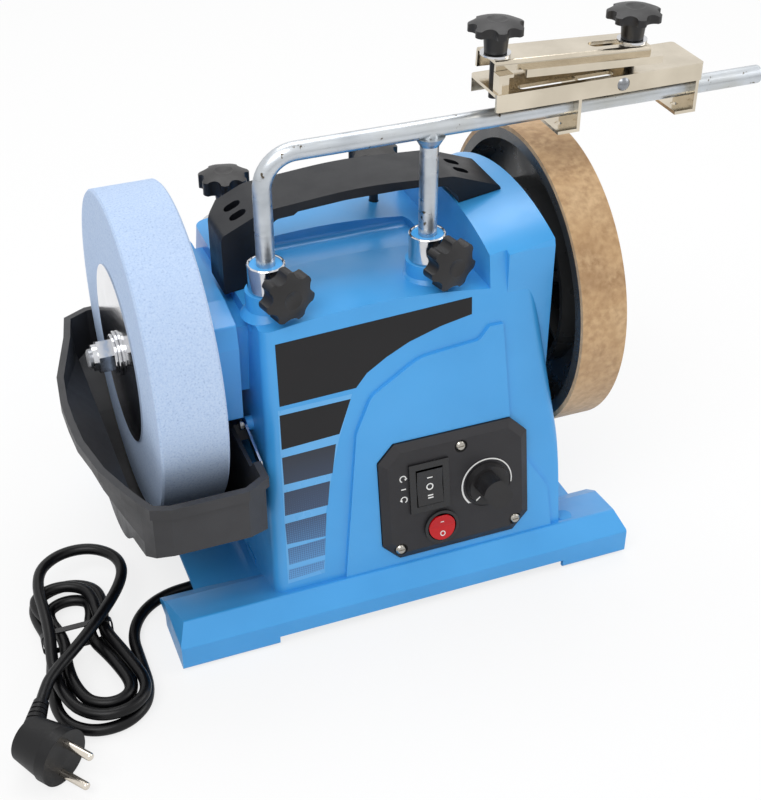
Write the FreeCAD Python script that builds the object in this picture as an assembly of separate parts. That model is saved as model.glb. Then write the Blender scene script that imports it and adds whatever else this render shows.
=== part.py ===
import FreeCAD, Part
import math
import os

V = FreeCAD.Vector
X_AXIS = V(1, 0, 0)
Y_AXIS = V(0, 1, 0)
Z_AXIS = V(0, 0, 1)

# Wet stone grinder, millimetres. Everything is drawn about the spindle: X runs along it, from the
# grinding stone (minus) to the honing wheel (plus), the control panel faces minus Y and the floor
# is Z = 0. Each finished piece is then moved so that the origin lies on the floor, under the
# middle of the box round the machine.

# Spindle and wheels
SHAFT_Z = 160.0
SHAFT_R = 6.0
STONE_R = 100.0
STONE_WIDE = 40.0
STONE_FACE_X = -162.0
STONE_BORE_R = 10.0
STONE_EDGE = 1.2
FACE_DISC_R = 55.0
FACE_DISC_THICK = 1.0
BACK_FLANGE_R = 30.0
WASHER_R = 14.0
WASHER_THICK = 2.0
WASHER_BEVEL = 0.5
NUT_FLATS = 19.0
NUT_THICK = 9.0
SHAFT_STICK_OUT = 3.0
HONING_R = 100.0
HONING_WIDE = 30.0
HONING_FACE_X = 131.0
LEATHER_THICK = 3.0
HONING_RIM = 7.0
HONING_WEB = 5.0
HONING_HUB_R = 17.0

# Drive: a rubber-tyred wheel on the spindle, turned by a roller on the motor
DRIVE_R = 62.0
TYRE_THICK = 6.0
DRIVE_WIDE = 12.0
DRIVE_X = 58.0
ROLLER_R = 9.0
ROLLER_GAP = 0.15
MOTOR_R = 36.0
MOTOR_LONG = 84.0
MOTOR_GAP_X = 10.0
MOTOR_WALL = 2.0
BEARING_R = 16.0
BEARING_WIDE = 10.0
LEFT_BEARING_X = -108.0
RIGHT_BEARING_X = 76.0
RUNNING = 0.05
SEAT = 0.05
CLEAR = 0.4

# Housing: a tapered body, a low deck under the handle, a raised shoulder over the drive wheel
WALL = 3.2
BODY_LOW_Z = 8.0
BODY_REF_Z = 20.0
BODY_FRONT_Y = -105.0
BODY_BACK_Y = 99.0
BODY_LEFT_X = -100.8
BODY_RIGHT_X = 106.0
LEAN_FRONT = 0.161
LEAN_LEFT = 0.04
LEAN_RIGHT = 0.149
BODY_CORNER_R = 7.0
DECK_Z = 207.0
DECK_PEAK_X = -22.0
DECK_ARCH_R = 470.0
SHOULDER_X = 49.0
SHOULDER_INNER_Z = 233.5
SHOULDER_OUTER_Z = 239.5
SHOULDER_ARC_R = 170.0
SHOULDER_MID_Y = -12.0
RIGHT_RING_X = 90.0
RIGHT_RING_Y = 76.5
LEFT_RING_X = -117.5
LEFT_RING_Y = 62.0
LEFT_RING_TOP_Z = 205.5
LEFT_RING_LOW_Z = 137.0
GROOVE_WIDE = 5.5
GROOVE_DEEP = 12.0
RING_CHAMFER_Z = 14.0
SCOOP_FRONT_Y = -15.0
SCOOP_BACK_Y = 29.0
SCOOP_LEFT_X = -66.0
SCOOP_RIGHT_X = 36.0
SCOOP_DEEP = 9.0

# Foot: a skirt under the body with two feet on each side, hollow below
SKIRT_Z = 2.0
ARCH_Z = 8.0
SIDE_ARCH_Z = 12.0
FOOT_FRONT_Y = -118.0
FOOT_BACK_Y = 112.0
FOOT_LEFT_X = -168.0
FOOT_RIGHT_X = 140.0
FOOT_DEPTH = 42.0
FOOT_EDGE_Z = 19.0
FOOT_CREST_Z = 31.0
FOOT_CREST_IN = 11.0
FOOT_HEEL_Z = 22.0
FLANGE_LEFT_X = -143.5
FLANGE_RIGHT_X = 124.0
FLANGE_Z = 17.0
FLANGE_FALL = 4.0
FRONT_ARCH_LEFT_X = -104.0
FRONT_ARCH_RIGHT_X = 92.0
RUBBER_R = 9.0
RUBBER_HIGH = 6.0
RUBBER_IN = 17.0
PLATE_THICK = 2.0

# Support bar and its guides
ROD_R = 5.5
STEM_Y = -52.0
STEM_LEFT_X = -82.0
STEM_RIGHT_X = 17.6
STEM_END_Z = 188.0
BAR_Z = 299.6
BAR_TIP_X = 232.7
BAR_BEND_R = 20.0
WELD_R = 9.0
COLLAR_TOP_Z = 234.0
COLLAR_HIGH = 17.0
COLLAR_KNOB_DROP = 11.0
COLLAR_R = 11.2
COLLAR_WALL = 1.6
BOSS_R = 13.0
REAR_GUIDE_Z = 188.0
REAR_GUIDE_SHIFT = 5.4
REAR_GUIDE_LONG = 30.0
REAR_PAD_OUT = 2.6
REAR_COLLAR_HIGH = 8.0
REAR_KNOB_Y = 50.0
REAR_KNOB_HUB_HIGH = 14.0
REAR_KNOB_FOOT_Z = 218.6

# Star knobs
KNOB_R = 15.0
KNOB_HIGH = 12.0
KNOB_HUB_R = 5.6
KNOB_HUB_HIGH = 6.0
KNOB_LOBES = 7
STUD_R = 3.0
STUD_SLACK = 1.4
FRONT_KNOB_TURN = 14.0
JIG_KNOB_R = 15.0
JIG_KNOB_HIGH = 12.5
JIG_KNOB_HUB_R = 6.5
JIG_KNOB_HUB_HIGH = 11.5

# Handle
HANDLE_FRONT_Y = -24.0
HANDLE_BACK_Y = 16.0
HANDLE_LEFT_X = -100.0
HANDLE_RIGHT_X = 78.0
HANDLE_UNDER_Z = 246.5
HANDLE_THICK = 8.0
HANDLE_TOP_Z = HANDLE_UNDER_Z + HANDLE_THICK
HANDLE_END_Z = 243.0
HANDLE_RIGHT_END_Z = 240.0
HANDLE_LEG_X = -76.0
HANDLE_HEEL_X = 50.0
SLOT_LONG = 10.0
SLOT_WIDE = 7.0
SLOT_DEEP = 5.0

# Control panel, on the leaning front wall
PANEL_X = 19.8
PANEL_Z = 75.4
PANEL_WIDE = 100.0
PANEL_HIGH = 81.0
PANEL_CORNER = 11.0
PANEL_THICK = 4.0
PANEL_BEVEL = 5.0
PANEL_RIM = 1.2
ROCKER_X = -18.5
ROCKER_UP = 8.5
ROCKER_WIDE = 22.0
ROCKER_HIGH = 30.0
ROCKER_FRAME = 2.0
POWER_X = -11.5
POWER_UP = -22.5
POWER_R = 9.0
POWER_RING_R = 11.5
POWER_CASE_R = 10.4
POWER_MOUTH_R = 9.6
PIVOT_R = 1.4
PIVOT_BITE = 0.5
DIAL_X = 20.5
DIAL_UP = 0.5
DIAL_R = 14.5
DIAL_KNOB_R = 11.0
DIAL_HIGH = 17.0
DIAL_SKIRT_HIGH = 4.0
DIAL_FACE_R = 17.5
PANEL_SCREWS = [(4.0, 30.5), (40.0, -31.5), (-39.0, -33.0)]
PAD_OUT = 2.2

# Tilting jig on the bar
JIG_LEFT_X = 52.0
JIG_RIGHT_X = 185.0
JIG_FRONT_Y = -65.0
JIG_BACK_Y = -29.0
JIG_TOP_Z = 318.5
JIG_FLANGE = 10.5
SHEET = 2.0
JIG_LEGS_X = (107.0, 184.0)
JIG_LEG_FOOT = 14.0
JIG_LEG_LOW_Z = 287.5
CLAMP_LEFT_X = 54.5
CLAMP_RIGHT_X = 153.0
CLAMP_FRONT_Y = -57.0
CLAMP_BACK_Y = -31.0
CLAMP_TOP_Z = 335.0
CLAMP_HIGH = 11.5
CLAMP_STEP = 6.0
CLAMP_LIP = 6.0
CLAMP_LIP_HIGH = 4.5
CLAMP_TILT = 2.8
CLAMP_SLOT_X = 118.0
JIG_KNOBS_X = (59.0, 146.0)
JIG_KNOB_Y = -46.0
JIG_WASHER_R = 8.8
JIG_WASHER_THICK = 1.5
JIG_FOOT_GAP = 0.3
JIG_LUG_HIGH = 11.0
JIG_LUG = (53.0, 62.0)
JIG_SLOT = (68.0, 128.0)
RIVET_X = 132.0
RIVET_R = 4.0

# Water trough round the lower half of the stone
TROUGH_RIM_Z = 133.0
TROUGH_WALL = 2.4
TROUGH_RIM_HIGH = 7.0
TROUGH_RIM_OUT = 2.0
TROUGH_INNER_X = -107.0
TROUGH_SIDE_X = -181.0
TROUGH_BULGE_X = -202.0
TROUGH_BULGE_Z = 103.0
TROUGH_FRONT_Y = -125.0
TROUGH_BACK_Y = 107.5
TROUGH_FRONT_LOW_Z = 98.0
TROUGH_BACK_LOW_Z = 104.0
TROUGH_BELLY = (66.0, 71.5, 41.0)
TROUGH_INNER_RIM_Z = 124.0
TROUGH_FLARE_Z = 125.0
TROUGH_PLAN = [(-105, -116), (-119, -125), (-165, -125), (-176, -121), (-181, -111), (-187, -97),
               (-195, -75), (-201, -44), (-202, -22), (-202, 0), (-199, 28), (-186, 73), (-181, 97),
               (-166, 105.2), (-119, 107.5), (-105, 99)]
HOOK_Z = 114.0
HOOK_Y = 40.0
HOOK_R = 3.0
HOOK_HEAD_R = 5.2
LATCH_Y = -54.0
LATCH_Z = 127.0
LATCH_LONG = 35.0
LATCH_HIGH = 6.0
LATCH_THICK = 1.4
LATCH_FALL = 9.0

# Cord, with its hank and plug on the floor at the left
CORD_R = 3.6
CORD_Z = 4.6
LEAD = [(-120.1, -50.0, 6.6), (-131.0, -50.0, 6.6), (-143.0, -50.0, 4.7), (-156.5, -50.6, 4.6),
        (-171.6, -56.4, 4.6), (-183.0, -67.9, 4.6), (-189.0, -83.0, 4.6), (-189.0, -98.5, 4.6)]
HANK_X = -219.0
HANK_WAIST_Y = -72.0
HANK_DOWN = 50.0
HANK_UP = 28.0
HANK_WIDE = 30.0
HANK_STEP = 8.6
HANK_DRAWN = 6.0
HANK_LAYERS = (4.6, 12.4, 21.2)
TIE_BACK_Y = -70.0
TIE_FRONT_Y = -74.0
TIE_THICK = 0.8
PLUG_END = (-252.5, -129.0, 18.6)
PLUG_FACE = (-248.0, -174.0, 17.6)
PLUG_R = 17.0
PLUG_LONG = 27.0
PIN_R = 2.4
PIN_LONG = 19.0
PIN_APART = 19.0
PIN_ROLL = 71.0
GLAND_Y = -50.0
GLAND_Z = 6.6
GLAND_R = 5.2
GLAND_LONG = 19.0
GLAND_TIP_R = 4.3

ORIGIN_X = (TROUGH_BULGE_X + BAR_TIP_X) / 2
ORIGIN_Y = (TROUGH_FRONT_Y + FOOT_BACK_Y) / 2
FAR = 400.0


# Building blocks
def box(x0, x1, y0, y1, z0, z1):
    return Part.makeBox(x1 - x0, y1 - y0, z1 - z0, V(x0, y0, z0))


def rod(start, axis, radius, length):
    return Part.makeCylinder(radius, length, start, axis)


def pipe_ring(start, axis, outer, inner, length):
    overrun = axis * 1.0
    return rod(start, axis, outer, length).cut(rod(start - overrun, axis, inner, length + 2.0))


def rounded_wire(points, radius, place):
    """Closed outline whose corners are arcs; points are (a, b) or (a, b, own radius)."""
    count = len(points)
    edges = []
    ends = []
    for i, point in enumerate(points):
        before = V(points[i - 1][0], points[i - 1][1], 0)
        here = V(point[0], point[1], 0)
        after = V(points[(i + 1) % count][0], points[(i + 1) % count][1], 0)
        r = point[2] if len(point) > 2 else radius
        if r <= 0:
            ends.append((here, here, here))
            continue
        u = (before - here).normalize()
        w = (after - here).normalize()
        half = u.getAngle(w) / 2
        reach = r / math.tan(half)
        middle = (u + w).normalize()
        centre = here + middle * (r / math.sin(half))
        ends.append((here + u * reach, centre - middle * r, here + w * reach))
    for i in range(count):
        a, m, b = ends[i]
        nxt = ends[(i + 1) % count][0]
        if a.distanceToPoint(b) > 1e-6:
            edges.append(Part.Arc(place(a), place(m), place(b)).toShape())
        if b.distanceToPoint(nxt) > 1e-6:
            edges.append(Part.LineSegment(place(b), place(nxt)).toShape())
    return Part.Wire(edges)


def prism_x(points, x0, x1, radius=0.0):
    wire = rounded_wire(points, radius, lambda p: V(x0, p.x, p.y))
    return Part.Face(wire).extrude(V(x1 - x0, 0, 0))


def prism_y(points, y0, y1, radius=0.0):
    wire = rounded_wire(points, radius, lambda p: V(p.x, y0, p.y))
    return Part.Face(wire).extrude(V(0, y1 - y0, 0))


def prism_z(points, z0, z1, radius=0.0):
    wire = rounded_wire(points, radius, lambda p: V(p.x, p.y, z0))
    return Part.Face(wire).extrude(V(0, 0, z1 - z0))


def rectangle(x0, x1, y0, y1):
    return [(x0, y0), (x1, y0), (x1, y1), (x0, y1)]


def hexagon(centre, axis, flats, thick):
    wire = Part.makePolygon([V(flats / math.sqrt(3) * math.cos(math.pi / 3 * i),
                               flats / math.sqrt(3) * math.sin(math.pi / 3 * i), 0)
                             for i in range(7)])
    solid = Part.Face(wire).extrude(V(0, 0, thick))
    crown = rod(V(0, 0, 0), Z_AXIS, flats * 0.565, thick)
    solid = solid.common(crown)
    solid.Placement = FreeCAD.Placement(centre, FreeCAD.Rotation(Z_AXIS, axis))
    return solid


def fuse(shapes):
    solid = shapes[0]
    if len(shapes) > 1:
        solid = solid.fuse(shapes[1:])
    return solid.removeSplitter()


def softened(solid, radius, pick):
    """Fillet of the edges that pick() chooses."""
    chosen = [e for e in solid.Edges if pick(e)]
    return solid.makeFillet(radius, chosen)


# Leaning walls of the body at a height
def front_y(z):
    return BODY_FRONT_Y + LEAN_FRONT * (z - BODY_REF_Z)


def back_y(z):
    return BODY_BACK_Y - LEAN_FRONT * (z - BODY_REF_Z)


def left_x(z):
    return BODY_LEFT_X + LEAN_LEFT * (z - BODY_REF_Z)


def right_x(z):
    return BODY_RIGHT_X - LEAN_RIGHT * (z - BODY_REF_Z)


def deck_z(x):
    return DECK_Z - DECK_ARCH_R + math.sqrt(DECK_ARCH_R ** 2 - (x - DECK_PEAK_X) ** 2)


def shoulder_z(x, y):
    share = (x - SHOULDER_X) / (RIGHT_RING_X - SHOULDER_X)
    peak = SHOULDER_INNER_Z + share * (SHOULDER_OUTER_Z - SHOULDER_INNER_Z)
    return peak - SHOULDER_ARC_R + math.sqrt(SHOULDER_ARC_R ** 2 - (y - SHOULDER_MID_Y) ** 2)


def body_block(low, high, inset, radius):
    """Tapered block between two heights, with its walls moved in by inset."""
    side = prism_x([(front_y(low) + inset, low), (back_y(low) - inset, low),
                    (back_y(high) - inset, high), (front_y(high) + inset, high)], -FAR, FAR)
    block = side.common(prism_y([(left_x(low) + inset, low), (right_x(low) - inset, low),
                                 (right_x(high) - inset, high), (left_x(high) + inset, high)],
                                -FAR, FAR))
    tall = (high - low) * 0.9
    return softened(block, radius, lambda e: abs(e.Vertexes[0].Z - e.Vertexes[1].Z) > tall)


def deck_limit(drop):
    """Space under the arched deck, lowered by drop."""
    ends = (LEFT_RING_X - 10, SHOULDER_X + 5)
    top = DECK_Z - drop
    arc = Part.Arc(V(ends[0], -FAR, deck_z(ends[0]) - drop), V(DECK_PEAK_X, -FAR, top),
                   V(ends[1], -FAR, deck_z(ends[1]) - drop)).toShape()
    sides = Part.makePolygon([V(ends[1], -FAR, deck_z(ends[1]) - drop), V(ends[1], -FAR, -10),
                              V(ends[0], -FAR, -10), V(ends[0], -FAR, deck_z(ends[0]) - drop)])
    return Part.Face(Part.Wire([arc] + sides.Edges)).extrude(V(0, 2 * FAR, 0))


def shoulder_limit(x0, x1, drop):
    """Space under the arched, slightly rising shoulder between two stations, lowered by drop."""
    reach = 130.0
    ends = (SHOULDER_MID_Y - reach, SHOULDER_MID_Y + reach)
    a = V(x0, ends[0], shoulder_z(x0, ends[0]) - drop)
    m = V(x0, SHOULDER_MID_Y, shoulder_z(x0, SHOULDER_MID_Y) - drop)
    b = V(x0, ends[1], shoulder_z(x0, ends[1]) - drop)
    arc = Part.Arc(a, m, b).toShape()
    sides = Part.makePolygon([b, V(x0, ends[1], -60), V(x0, ends[0], -60), a])
    rise = shoulder_z(x1, SHOULDER_MID_Y) - shoulder_z(x0, SHOULDER_MID_Y)
    return Part.Face(Part.Wire([arc] + sides.Edges)).extrude(V(x1 - x0, 0, rise))


# Housing
def foot_profile(back):
    """Side outline of a foot: steep toe, crest, long fall to the heel, hollow below."""
    toe = FOOT_FRONT_Y if not back else -FOOT_BACK_Y
    points = [(toe, SKIRT_Z), (toe, FOOT_EDGE_Z), (toe + FOOT_CREST_IN, FOOT_CREST_Z),
              (toe + FOOT_DEPTH, FOOT_HEEL_Z), (toe + FOOT_DEPTH + 14, FLANGE_Z - FLANGE_FALL),
              (toe + FOOT_DEPTH + 14, SKIRT_Z)]
    if back:
        points = [(-y, z) for y, z in reversed(points)]
    return points


def foot(back, left):
    """One foot block reaching out of the body's side, with a leaning end."""
    inner = 0.0
    tip = FOOT_LEFT_X if left else FOOT_RIGHT_X
    side = -1 if left else 1
    block = prism_x(foot_profile(back), min(inner, tip - side * 2), max(inner, tip - side * 2), 2.0)
    end = [(inner, SKIRT_Z), (tip, SKIRT_Z), (tip, SKIRT_Z + 14), (tip - side * 9, FOOT_CREST_Z + 4),
           (inner, FOOT_CREST_Z + 4)]
    return block.common(prism_y(end, -FAR, FAR))


def foot_outline():
    feet = [foot(back, left) for back in (False, True) for left in (False, True)]
    y0 = FOOT_FRONT_Y + FOOT_DEPTH
    y1 = FOOT_BACK_Y - FOOT_DEPTH
    flange = prism_z([(FLANGE_LEFT_X, y0 - 12, 0), (FLANGE_RIGHT_X, y0 - 12, 0),
                      (FLANGE_RIGHT_X, y1 + 12, 0), (FLANGE_LEFT_X, y1 + 12, 0)], SKIRT_Z, FLANGE_Z)
    slope = [(FLANGE_LEFT_X, SKIRT_Z), (FLANGE_RIGHT_X, SKIRT_Z),
             (FLANGE_RIGHT_X, FLANGE_Z - FLANGE_FALL), (right_x(BODY_LOW_Z), FLANGE_Z),
             (left_x(BODY_LOW_Z) - 4, FLANGE_Z), (FLANGE_LEFT_X, FLANGE_Z - FLANGE_FALL)]
    flange = flange.common(prism_y(slope, -FAR, FAR))
    return fuse(feet + [flange])


def foot_hollow():
    """The same skirt seen from below: moved in by the wall and cut for the arches."""
    y0 = FOOT_FRONT_Y + WALL
    y1 = FOOT_BACK_Y - WALL
    deep = FOOT_DEPTH - 2 * WALL
    low = SKIRT_Z - 1
    cuts = []
    for ya, yb in ((y0, y0 + deep), (y1 - deep, y1)):
        cuts.append(box(FOOT_LEFT_X + WALL + 6, FOOT_RIGHT_X - WALL - 6, ya, yb, low, FOOT_EDGE_Z - WALL))
    cuts.append(box(FLANGE_LEFT_X + WALL, FLANGE_RIGHT_X - WALL, y0 + deep - 1, y1 - deep + 1,
                    low, FLANGE_Z - FLANGE_FALL - WALL))
    for ya, yb in ((FOOT_FRONT_Y - 1, y0 + 1), (y1 - 1, FOOT_BACK_Y + 1)):
        cuts.append(box(FRONT_ARCH_LEFT_X, FRONT_ARCH_RIGHT_X, ya, yb, low, ARCH_Z))
    for xa, xb in ((FOOT_LEFT_X - 1, FLANGE_LEFT_X + WALL + 1),
                   (FLANGE_RIGHT_X - WALL - 1, FOOT_RIGHT_X + 1)):
        cuts.append(box(xa, xb, FOOT_FRONT_Y + FOOT_DEPTH, FOOT_BACK_Y - FOOT_DEPTH, low, SIDE_ARCH_Z - 2))
    return fuse(cuts)


def left_ring():
    half = LEFT_RING_Y
    top = LEFT_RING_TOP_Z
    low = LEFT_RING_LOW_Z
    outline = [(-half, low), (-half, top - RING_CHAMFER_Z - 5), (-half + 3, top - 5),
               (-half + 26, top), (half - 26, top), (half - 3, top - 5),
               (half, top - RING_CHAMFER_Z - 5), (half, low)]
    drum = prism_x(outline, LEFT_RING_X, LEFT_RING_X + 14, 1.5)
    neck = box(LEFT_RING_X + 5, left_x(SHAFT_Z) + 6, -half + GROOVE_DEEP, half - GROOVE_DEEP,
               low + GROOVE_DEEP, top - GROOVE_DEEP)
    return drum.fuse(neck)


def right_ring():
    half = RIGHT_RING_Y
    drum = box(60, RIGHT_RING_X, -half, half - 8, FLANGE_Z - 4, 250)
    top = shoulder_z(RIGHT_RING_X, -half)
    chamfer = [(-half - 1, top - 7), (-half + 3, top + 6), (-half - 1, top + 6)]
    drum = drum.cut(prism_x(chamfer, 50, RIGHT_RING_X + 1))
    return drum.common(shoulder_limit(SHOULDER_X, RIGHT_RING_X + 4, 0))


def finger_scoop():
    """Hollow under the handle: it falls to the back and ends in a steep wall."""
    low = DECK_Z - SCOOP_DEEP
    outline = [(SCOOP_FRONT_Y, DECK_Z + 1.5, 0), (SCOOP_FRONT_Y + 1, deck_z(SCOOP_RIGHT_X) - 1.5, 0),
               (SCOOP_BACK_Y - 6, low, 5), (SCOOP_BACK_Y, DECK_Z + 12, 0),
               (SCOOP_FRONT_Y, DECK_Z + 12, 0)]
    cut = prism_x(outline, SCOOP_LEFT_X, SCOOP_RIGHT_X)
    plan = rectangle(SCOOP_LEFT_X, SCOOP_RIGHT_X, SCOOP_FRONT_Y - 20, SCOOP_BACK_Y + 1)
    return cut.common(prism_z(plan, low - 5, DECK_Z + 20, 14.0))


def panel_place():
    """Seat of the control panel: local X across, Z up the wall, minus Y out of it."""
    lean = -math.degrees(math.atan(LEAN_FRONT))
    return FreeCAD.Placement(V(PANEL_X, front_y(PANEL_Z), PANEL_Z), FreeCAD.Rotation(X_AXIS, lean))


def on_panel(shape):
    shape = shape.copy()
    shape.Placement = panel_place().multiply(shape.Placement)
    return shape


def front_pad():
    """Raised field of the front wall, its upper edge swept up to the right."""
    outline = [(-57, 19, 0), (-42, 128, 20), (-31, 150, 12), (1, 168.5, 30), (40, 171.5, 6),
               (47, 179, 0), (56, 179, 0), (60, 100, 0), (85, 60, 0), (88, 19, 0)]
    wire = rounded_wire(outline, 5.0, lambda p: V(p.x, -FAR, p.y))
    field = Part.Face(wire).extrude(V(0, FAR, 0))
    shell = body_block(BODY_LOW_Z, SHOULDER_INNER_Z - 15, -PAD_OUT, BODY_CORNER_R + PAD_OUT)
    keep = box(-FAR, right_x(100) - BODY_CORNER_R, -FAR, -40, 12, 185)
    return field.common(shell).common(keep)


def guide_boss(x):
    """Post for one leg of the support bar; its narrow top stands inside the metal collar."""
    foot_z = DECK_Z - 14
    post = rod(V(x, STEM_Y, foot_z), Z_AXIS, BOSS_R, COLLAR_TOP_Z - COLLAR_HIGH - foot_z)
    skirt = Part.makeCone(BOSS_R + 3.5, BOSS_R, 5.0, V(x, STEM_Y, deck_z(x) - 2), Z_AXIS)
    inner = rod(V(x, STEM_Y, foot_z), Z_AXIS, COLLAR_R - COLLAR_WALL - SEAT, COLLAR_TOP_Z - 1.0 - foot_z)
    sleeve = rod(V(x, STEM_Y, STEM_END_Z - 24), Z_AXIS, ROD_R + 3.0, DECK_Z - STEM_END_Z + 24)
    return fuse([post, skirt, inner, sleeve])


def rear_guide_x(stem_x):
    return stem_x + REAR_GUIDE_SHIFT


def rear_boss(x):
    """Level guide in the back wall for the same legs, with a post for its knob's stud."""
    wall = back_y(REAR_GUIDE_Z)
    inside = wall - REAR_GUIDE_LONG
    sleeve = rod(V(x, inside, REAR_GUIDE_Z), Y_AXIS, ROD_R + 3.2, REAR_GUIDE_LONG)
    pad = rod(V(x, wall - 6, REAR_GUIDE_Z), Y_AXIS, BOSS_R, 6 + REAR_PAD_OUT)
    inner = rod(V(x, wall, REAR_GUIDE_Z), Y_AXIS, COLLAR_R - COLLAR_WALL - SEAT,
                REAR_PAD_OUT + REAR_COLLAR_HIGH - 1.0)
    post = rod(V(x, REAR_KNOB_Y, REAR_GUIDE_Z), Z_AXIS, STUD_R + 3.0, DECK_Z - 8 - REAR_GUIDE_Z)
    return fuse([sleeve, pad, inner, post])


def shaft_seat(x, length):
    """Bearing seat, a round boss on the inside of a side wall."""
    return rod(V(x, 0, SHAFT_Z), X_AXIS, BEARING_R + 5.0, length)


def housing():
    body = body_block(BODY_LOW_Z, 250.0, 0.0, BODY_CORNER_R)
    high = body.common(shoulder_limit(SHOULDER_X, RIGHT_RING_X + 4, 0))
    body = body.common(deck_limit(0))
    shell = fuse([body, high, left_ring(), right_ring(), front_pad(), foot_outline()])
    shell = shell.cut(finger_scoop())

    room = body_block(BODY_LOW_Z - 2, 245.0, WALL, BODY_CORNER_R - WALL)
    under_deck = room.common(deck_limit(SCOOP_DEEP + WALL)).common(
        box(-FAR, SHOULDER_X + 1, -FAR, FAR, 0, FAR))
    under_shoulder = room.common(shoulder_limit(SHOULDER_X, RIGHT_RING_X, WALL)).common(
        box(SHOULDER_X + WALL, FAR, -FAR, FAR, 0, FAR))
    low_link = room.common(box(SHOULDER_X - 1, SHOULDER_X + 5, -FAR, FAR, 0, deck_z(SHOULDER_X) - WALL))
    shell = shell.cut(fuse([under_deck, under_shoulder, low_link]))
    shell = shell.cut(foot_hollow())

    extras = [guide_boss(STEM_LEFT_X), guide_boss(STEM_RIGHT_X),
              rear_boss(rear_guide_x(STEM_LEFT_X)), rear_boss(rear_guide_x(STEM_RIGHT_X)),
              shaft_seat(LEFT_BEARING_X - 4, BEARING_WIDE + 6),
              shaft_seat(RIGHT_BEARING_X - 2, BEARING_WIDE + 6)]
    extras += screw_posts() + foot_posts() + [latch_boss(), gland_boss()]
    shell = shell.fuse(extras)

    cuts = [gland_channel()]
    for x in (STEM_LEFT_X, STEM_RIGHT_X):
        cuts.append(rod(V(x, STEM_Y, 100), Z_AXIS, ROD_R + RUNNING, 200))
        knob = front_knob_axis()
        middle = V(x, STEM_Y, COLLAR_TOP_Z - COLLAR_KNOB_DROP)
        cuts.append(rod(middle + knob * ROD_R, knob, STUD_R + CLEAR, 20))
        guide_x = rear_guide_x(x)
        inside = back_y(REAR_GUIDE_Z) - REAR_GUIDE_LONG
        cuts.append(rod(V(guide_x, inside - 1, REAR_GUIDE_Z), Y_AXIS, ROD_R + RUNNING, REAR_GUIDE_LONG + 30))
        cuts.append(rod(V(guide_x, REAR_KNOB_Y, REAR_GUIDE_Z + ROD_R), Z_AXIS, STUD_R + CLEAR, 40))
    cuts.append(rod(V(LEFT_BEARING_X, 0, SHAFT_Z), X_AXIS, BEARING_R + SEAT, BEARING_WIDE + 10))
    cuts.append(rod(V(RIGHT_BEARING_X - 10, 0, SHAFT_Z), X_AXIS, BEARING_R + SEAT, BEARING_WIDE + 10))
    cuts.append(rod(V(-FAR, 0, SHAFT_Z), X_AXIS, SHAFT_R + 2.0, 2 * FAR))
    cuts.append(on_panel(box(-PANEL_WIDE / 2 + 8, PANEL_WIDE / 2 - 8, -8, 12,
                             -PANEL_HIGH / 2 + 14, PANEL_HIGH / 2 - 14)))
    cuts.append(on_panel(panel_outline(CLEAR, -PAD_OUT - 4, -0.6)))
    cuts.append(rod(V(LEFT_RING_X - 1, 0, SHAFT_Z), X_AXIS, 11.0, LEFT_BEARING_X - LEFT_RING_X + 2))
    right_end = RIGHT_BEARING_X + BEARING_WIDE
    cuts.append(rod(V(right_end - 1, 0, SHAFT_Z), X_AXIS, 11.0, RIGHT_RING_X + 2 - right_end))
    cuts.append(on_panel(rod(V(POWER_X, -6, POWER_UP), Y_AXIS, POWER_CASE_R + CLEAR, 20)))
    for y in (-HOOK_Y, HOOK_Y):
        cuts.append(rod(V(left_x(HOOK_Z) - 2, y, HOOK_Z), X_AXIS, 2.0 + SEAT, 14))
    cuts.append(rod(V(latch_boss_x() - 2, LATCH_Y, LATCH_Z), X_AXIS, 1.6 + SEAT, 16))
    cuts.append(rod(V(left_x(GLAND_Z) - 10, GLAND_Y, GLAND_Z), X_AXIS, GLAND_R + SEAT, 30))
    for x, y in plate_screw_places():
        cuts.append(rod(V(x, y, 0), Z_AXIS, 2.0 + SEAT, BODY_LOW_Z + 14))
    for x, y in handle_screw_places():
        cuts.append(rod(V(x, y, handle_screw_z(x, y) - 1), Z_AXIS, 2.0 + SEAT, SCOOP_DEEP + WALL + 12))
    for x, z in PANEL_SCREWS:
        cuts.append(on_panel(rod(V(x, -8, z), Y_AXIS, 1.5 + SEAT, 16)))
    return shell.cut(fuse(cuts)).removeSplitter()


def latch_boss_x():
    return left_x(LATCH_Z) - 4.0


def latch_boss():
    """Low boss on the left wall that carries the latch's screw."""
    return rod(V(latch_boss_x(), LATCH_Y, LATCH_Z), X_AXIS, 4.5, 12.0)


def gland_boss():
    """Block on the inside of the left wall that holds the cord's gland."""
    x = left_x(GLAND_Z)
    return box(x - 0.2, x + 7, GLAND_Y - 9, GLAND_Y + 9, SKIRT_Z, 22)


def gland_channel():
    """Room under the side flange for the gland's tapered sleeve."""
    x = left_x(GLAND_Z)
    room = box(x - GLAND_LONG - 2, x - 0.2, GLAND_Y - 7, GLAND_Y + 7, SKIRT_Z - 1, GLAND_Z + 6.2)
    return room.fuse(box(FLANGE_LEFT_X + 5, x - 2, GLAND_Y - 6, GLAND_Y + 6, SKIRT_Z - 1, 11.2))


def panel_outline(grow, low, high):
    half_x = PANEL_WIDE / 2 + grow
    half_z = PANEL_HIGH / 2 + grow
    k = PANEL_CORNER
    outline = [(-half_x + k, -half_z), (half_x - k, -half_z), (half_x, -half_z + k),
               (half_x, half_z - k), (half_x - k, half_z), (-half_x + k, half_z),
               (-half_x, half_z - k), (-half_x, -half_z + k)]
    return prism_y(outline, low, high, 1.5)


def front_knob_axis():
    """Way out of the front knobs: forward, turned towards plus X."""
    a = math.radians(FRONT_KNOB_TURN)
    return V(math.sin(a), -math.cos(a), 0)


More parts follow.
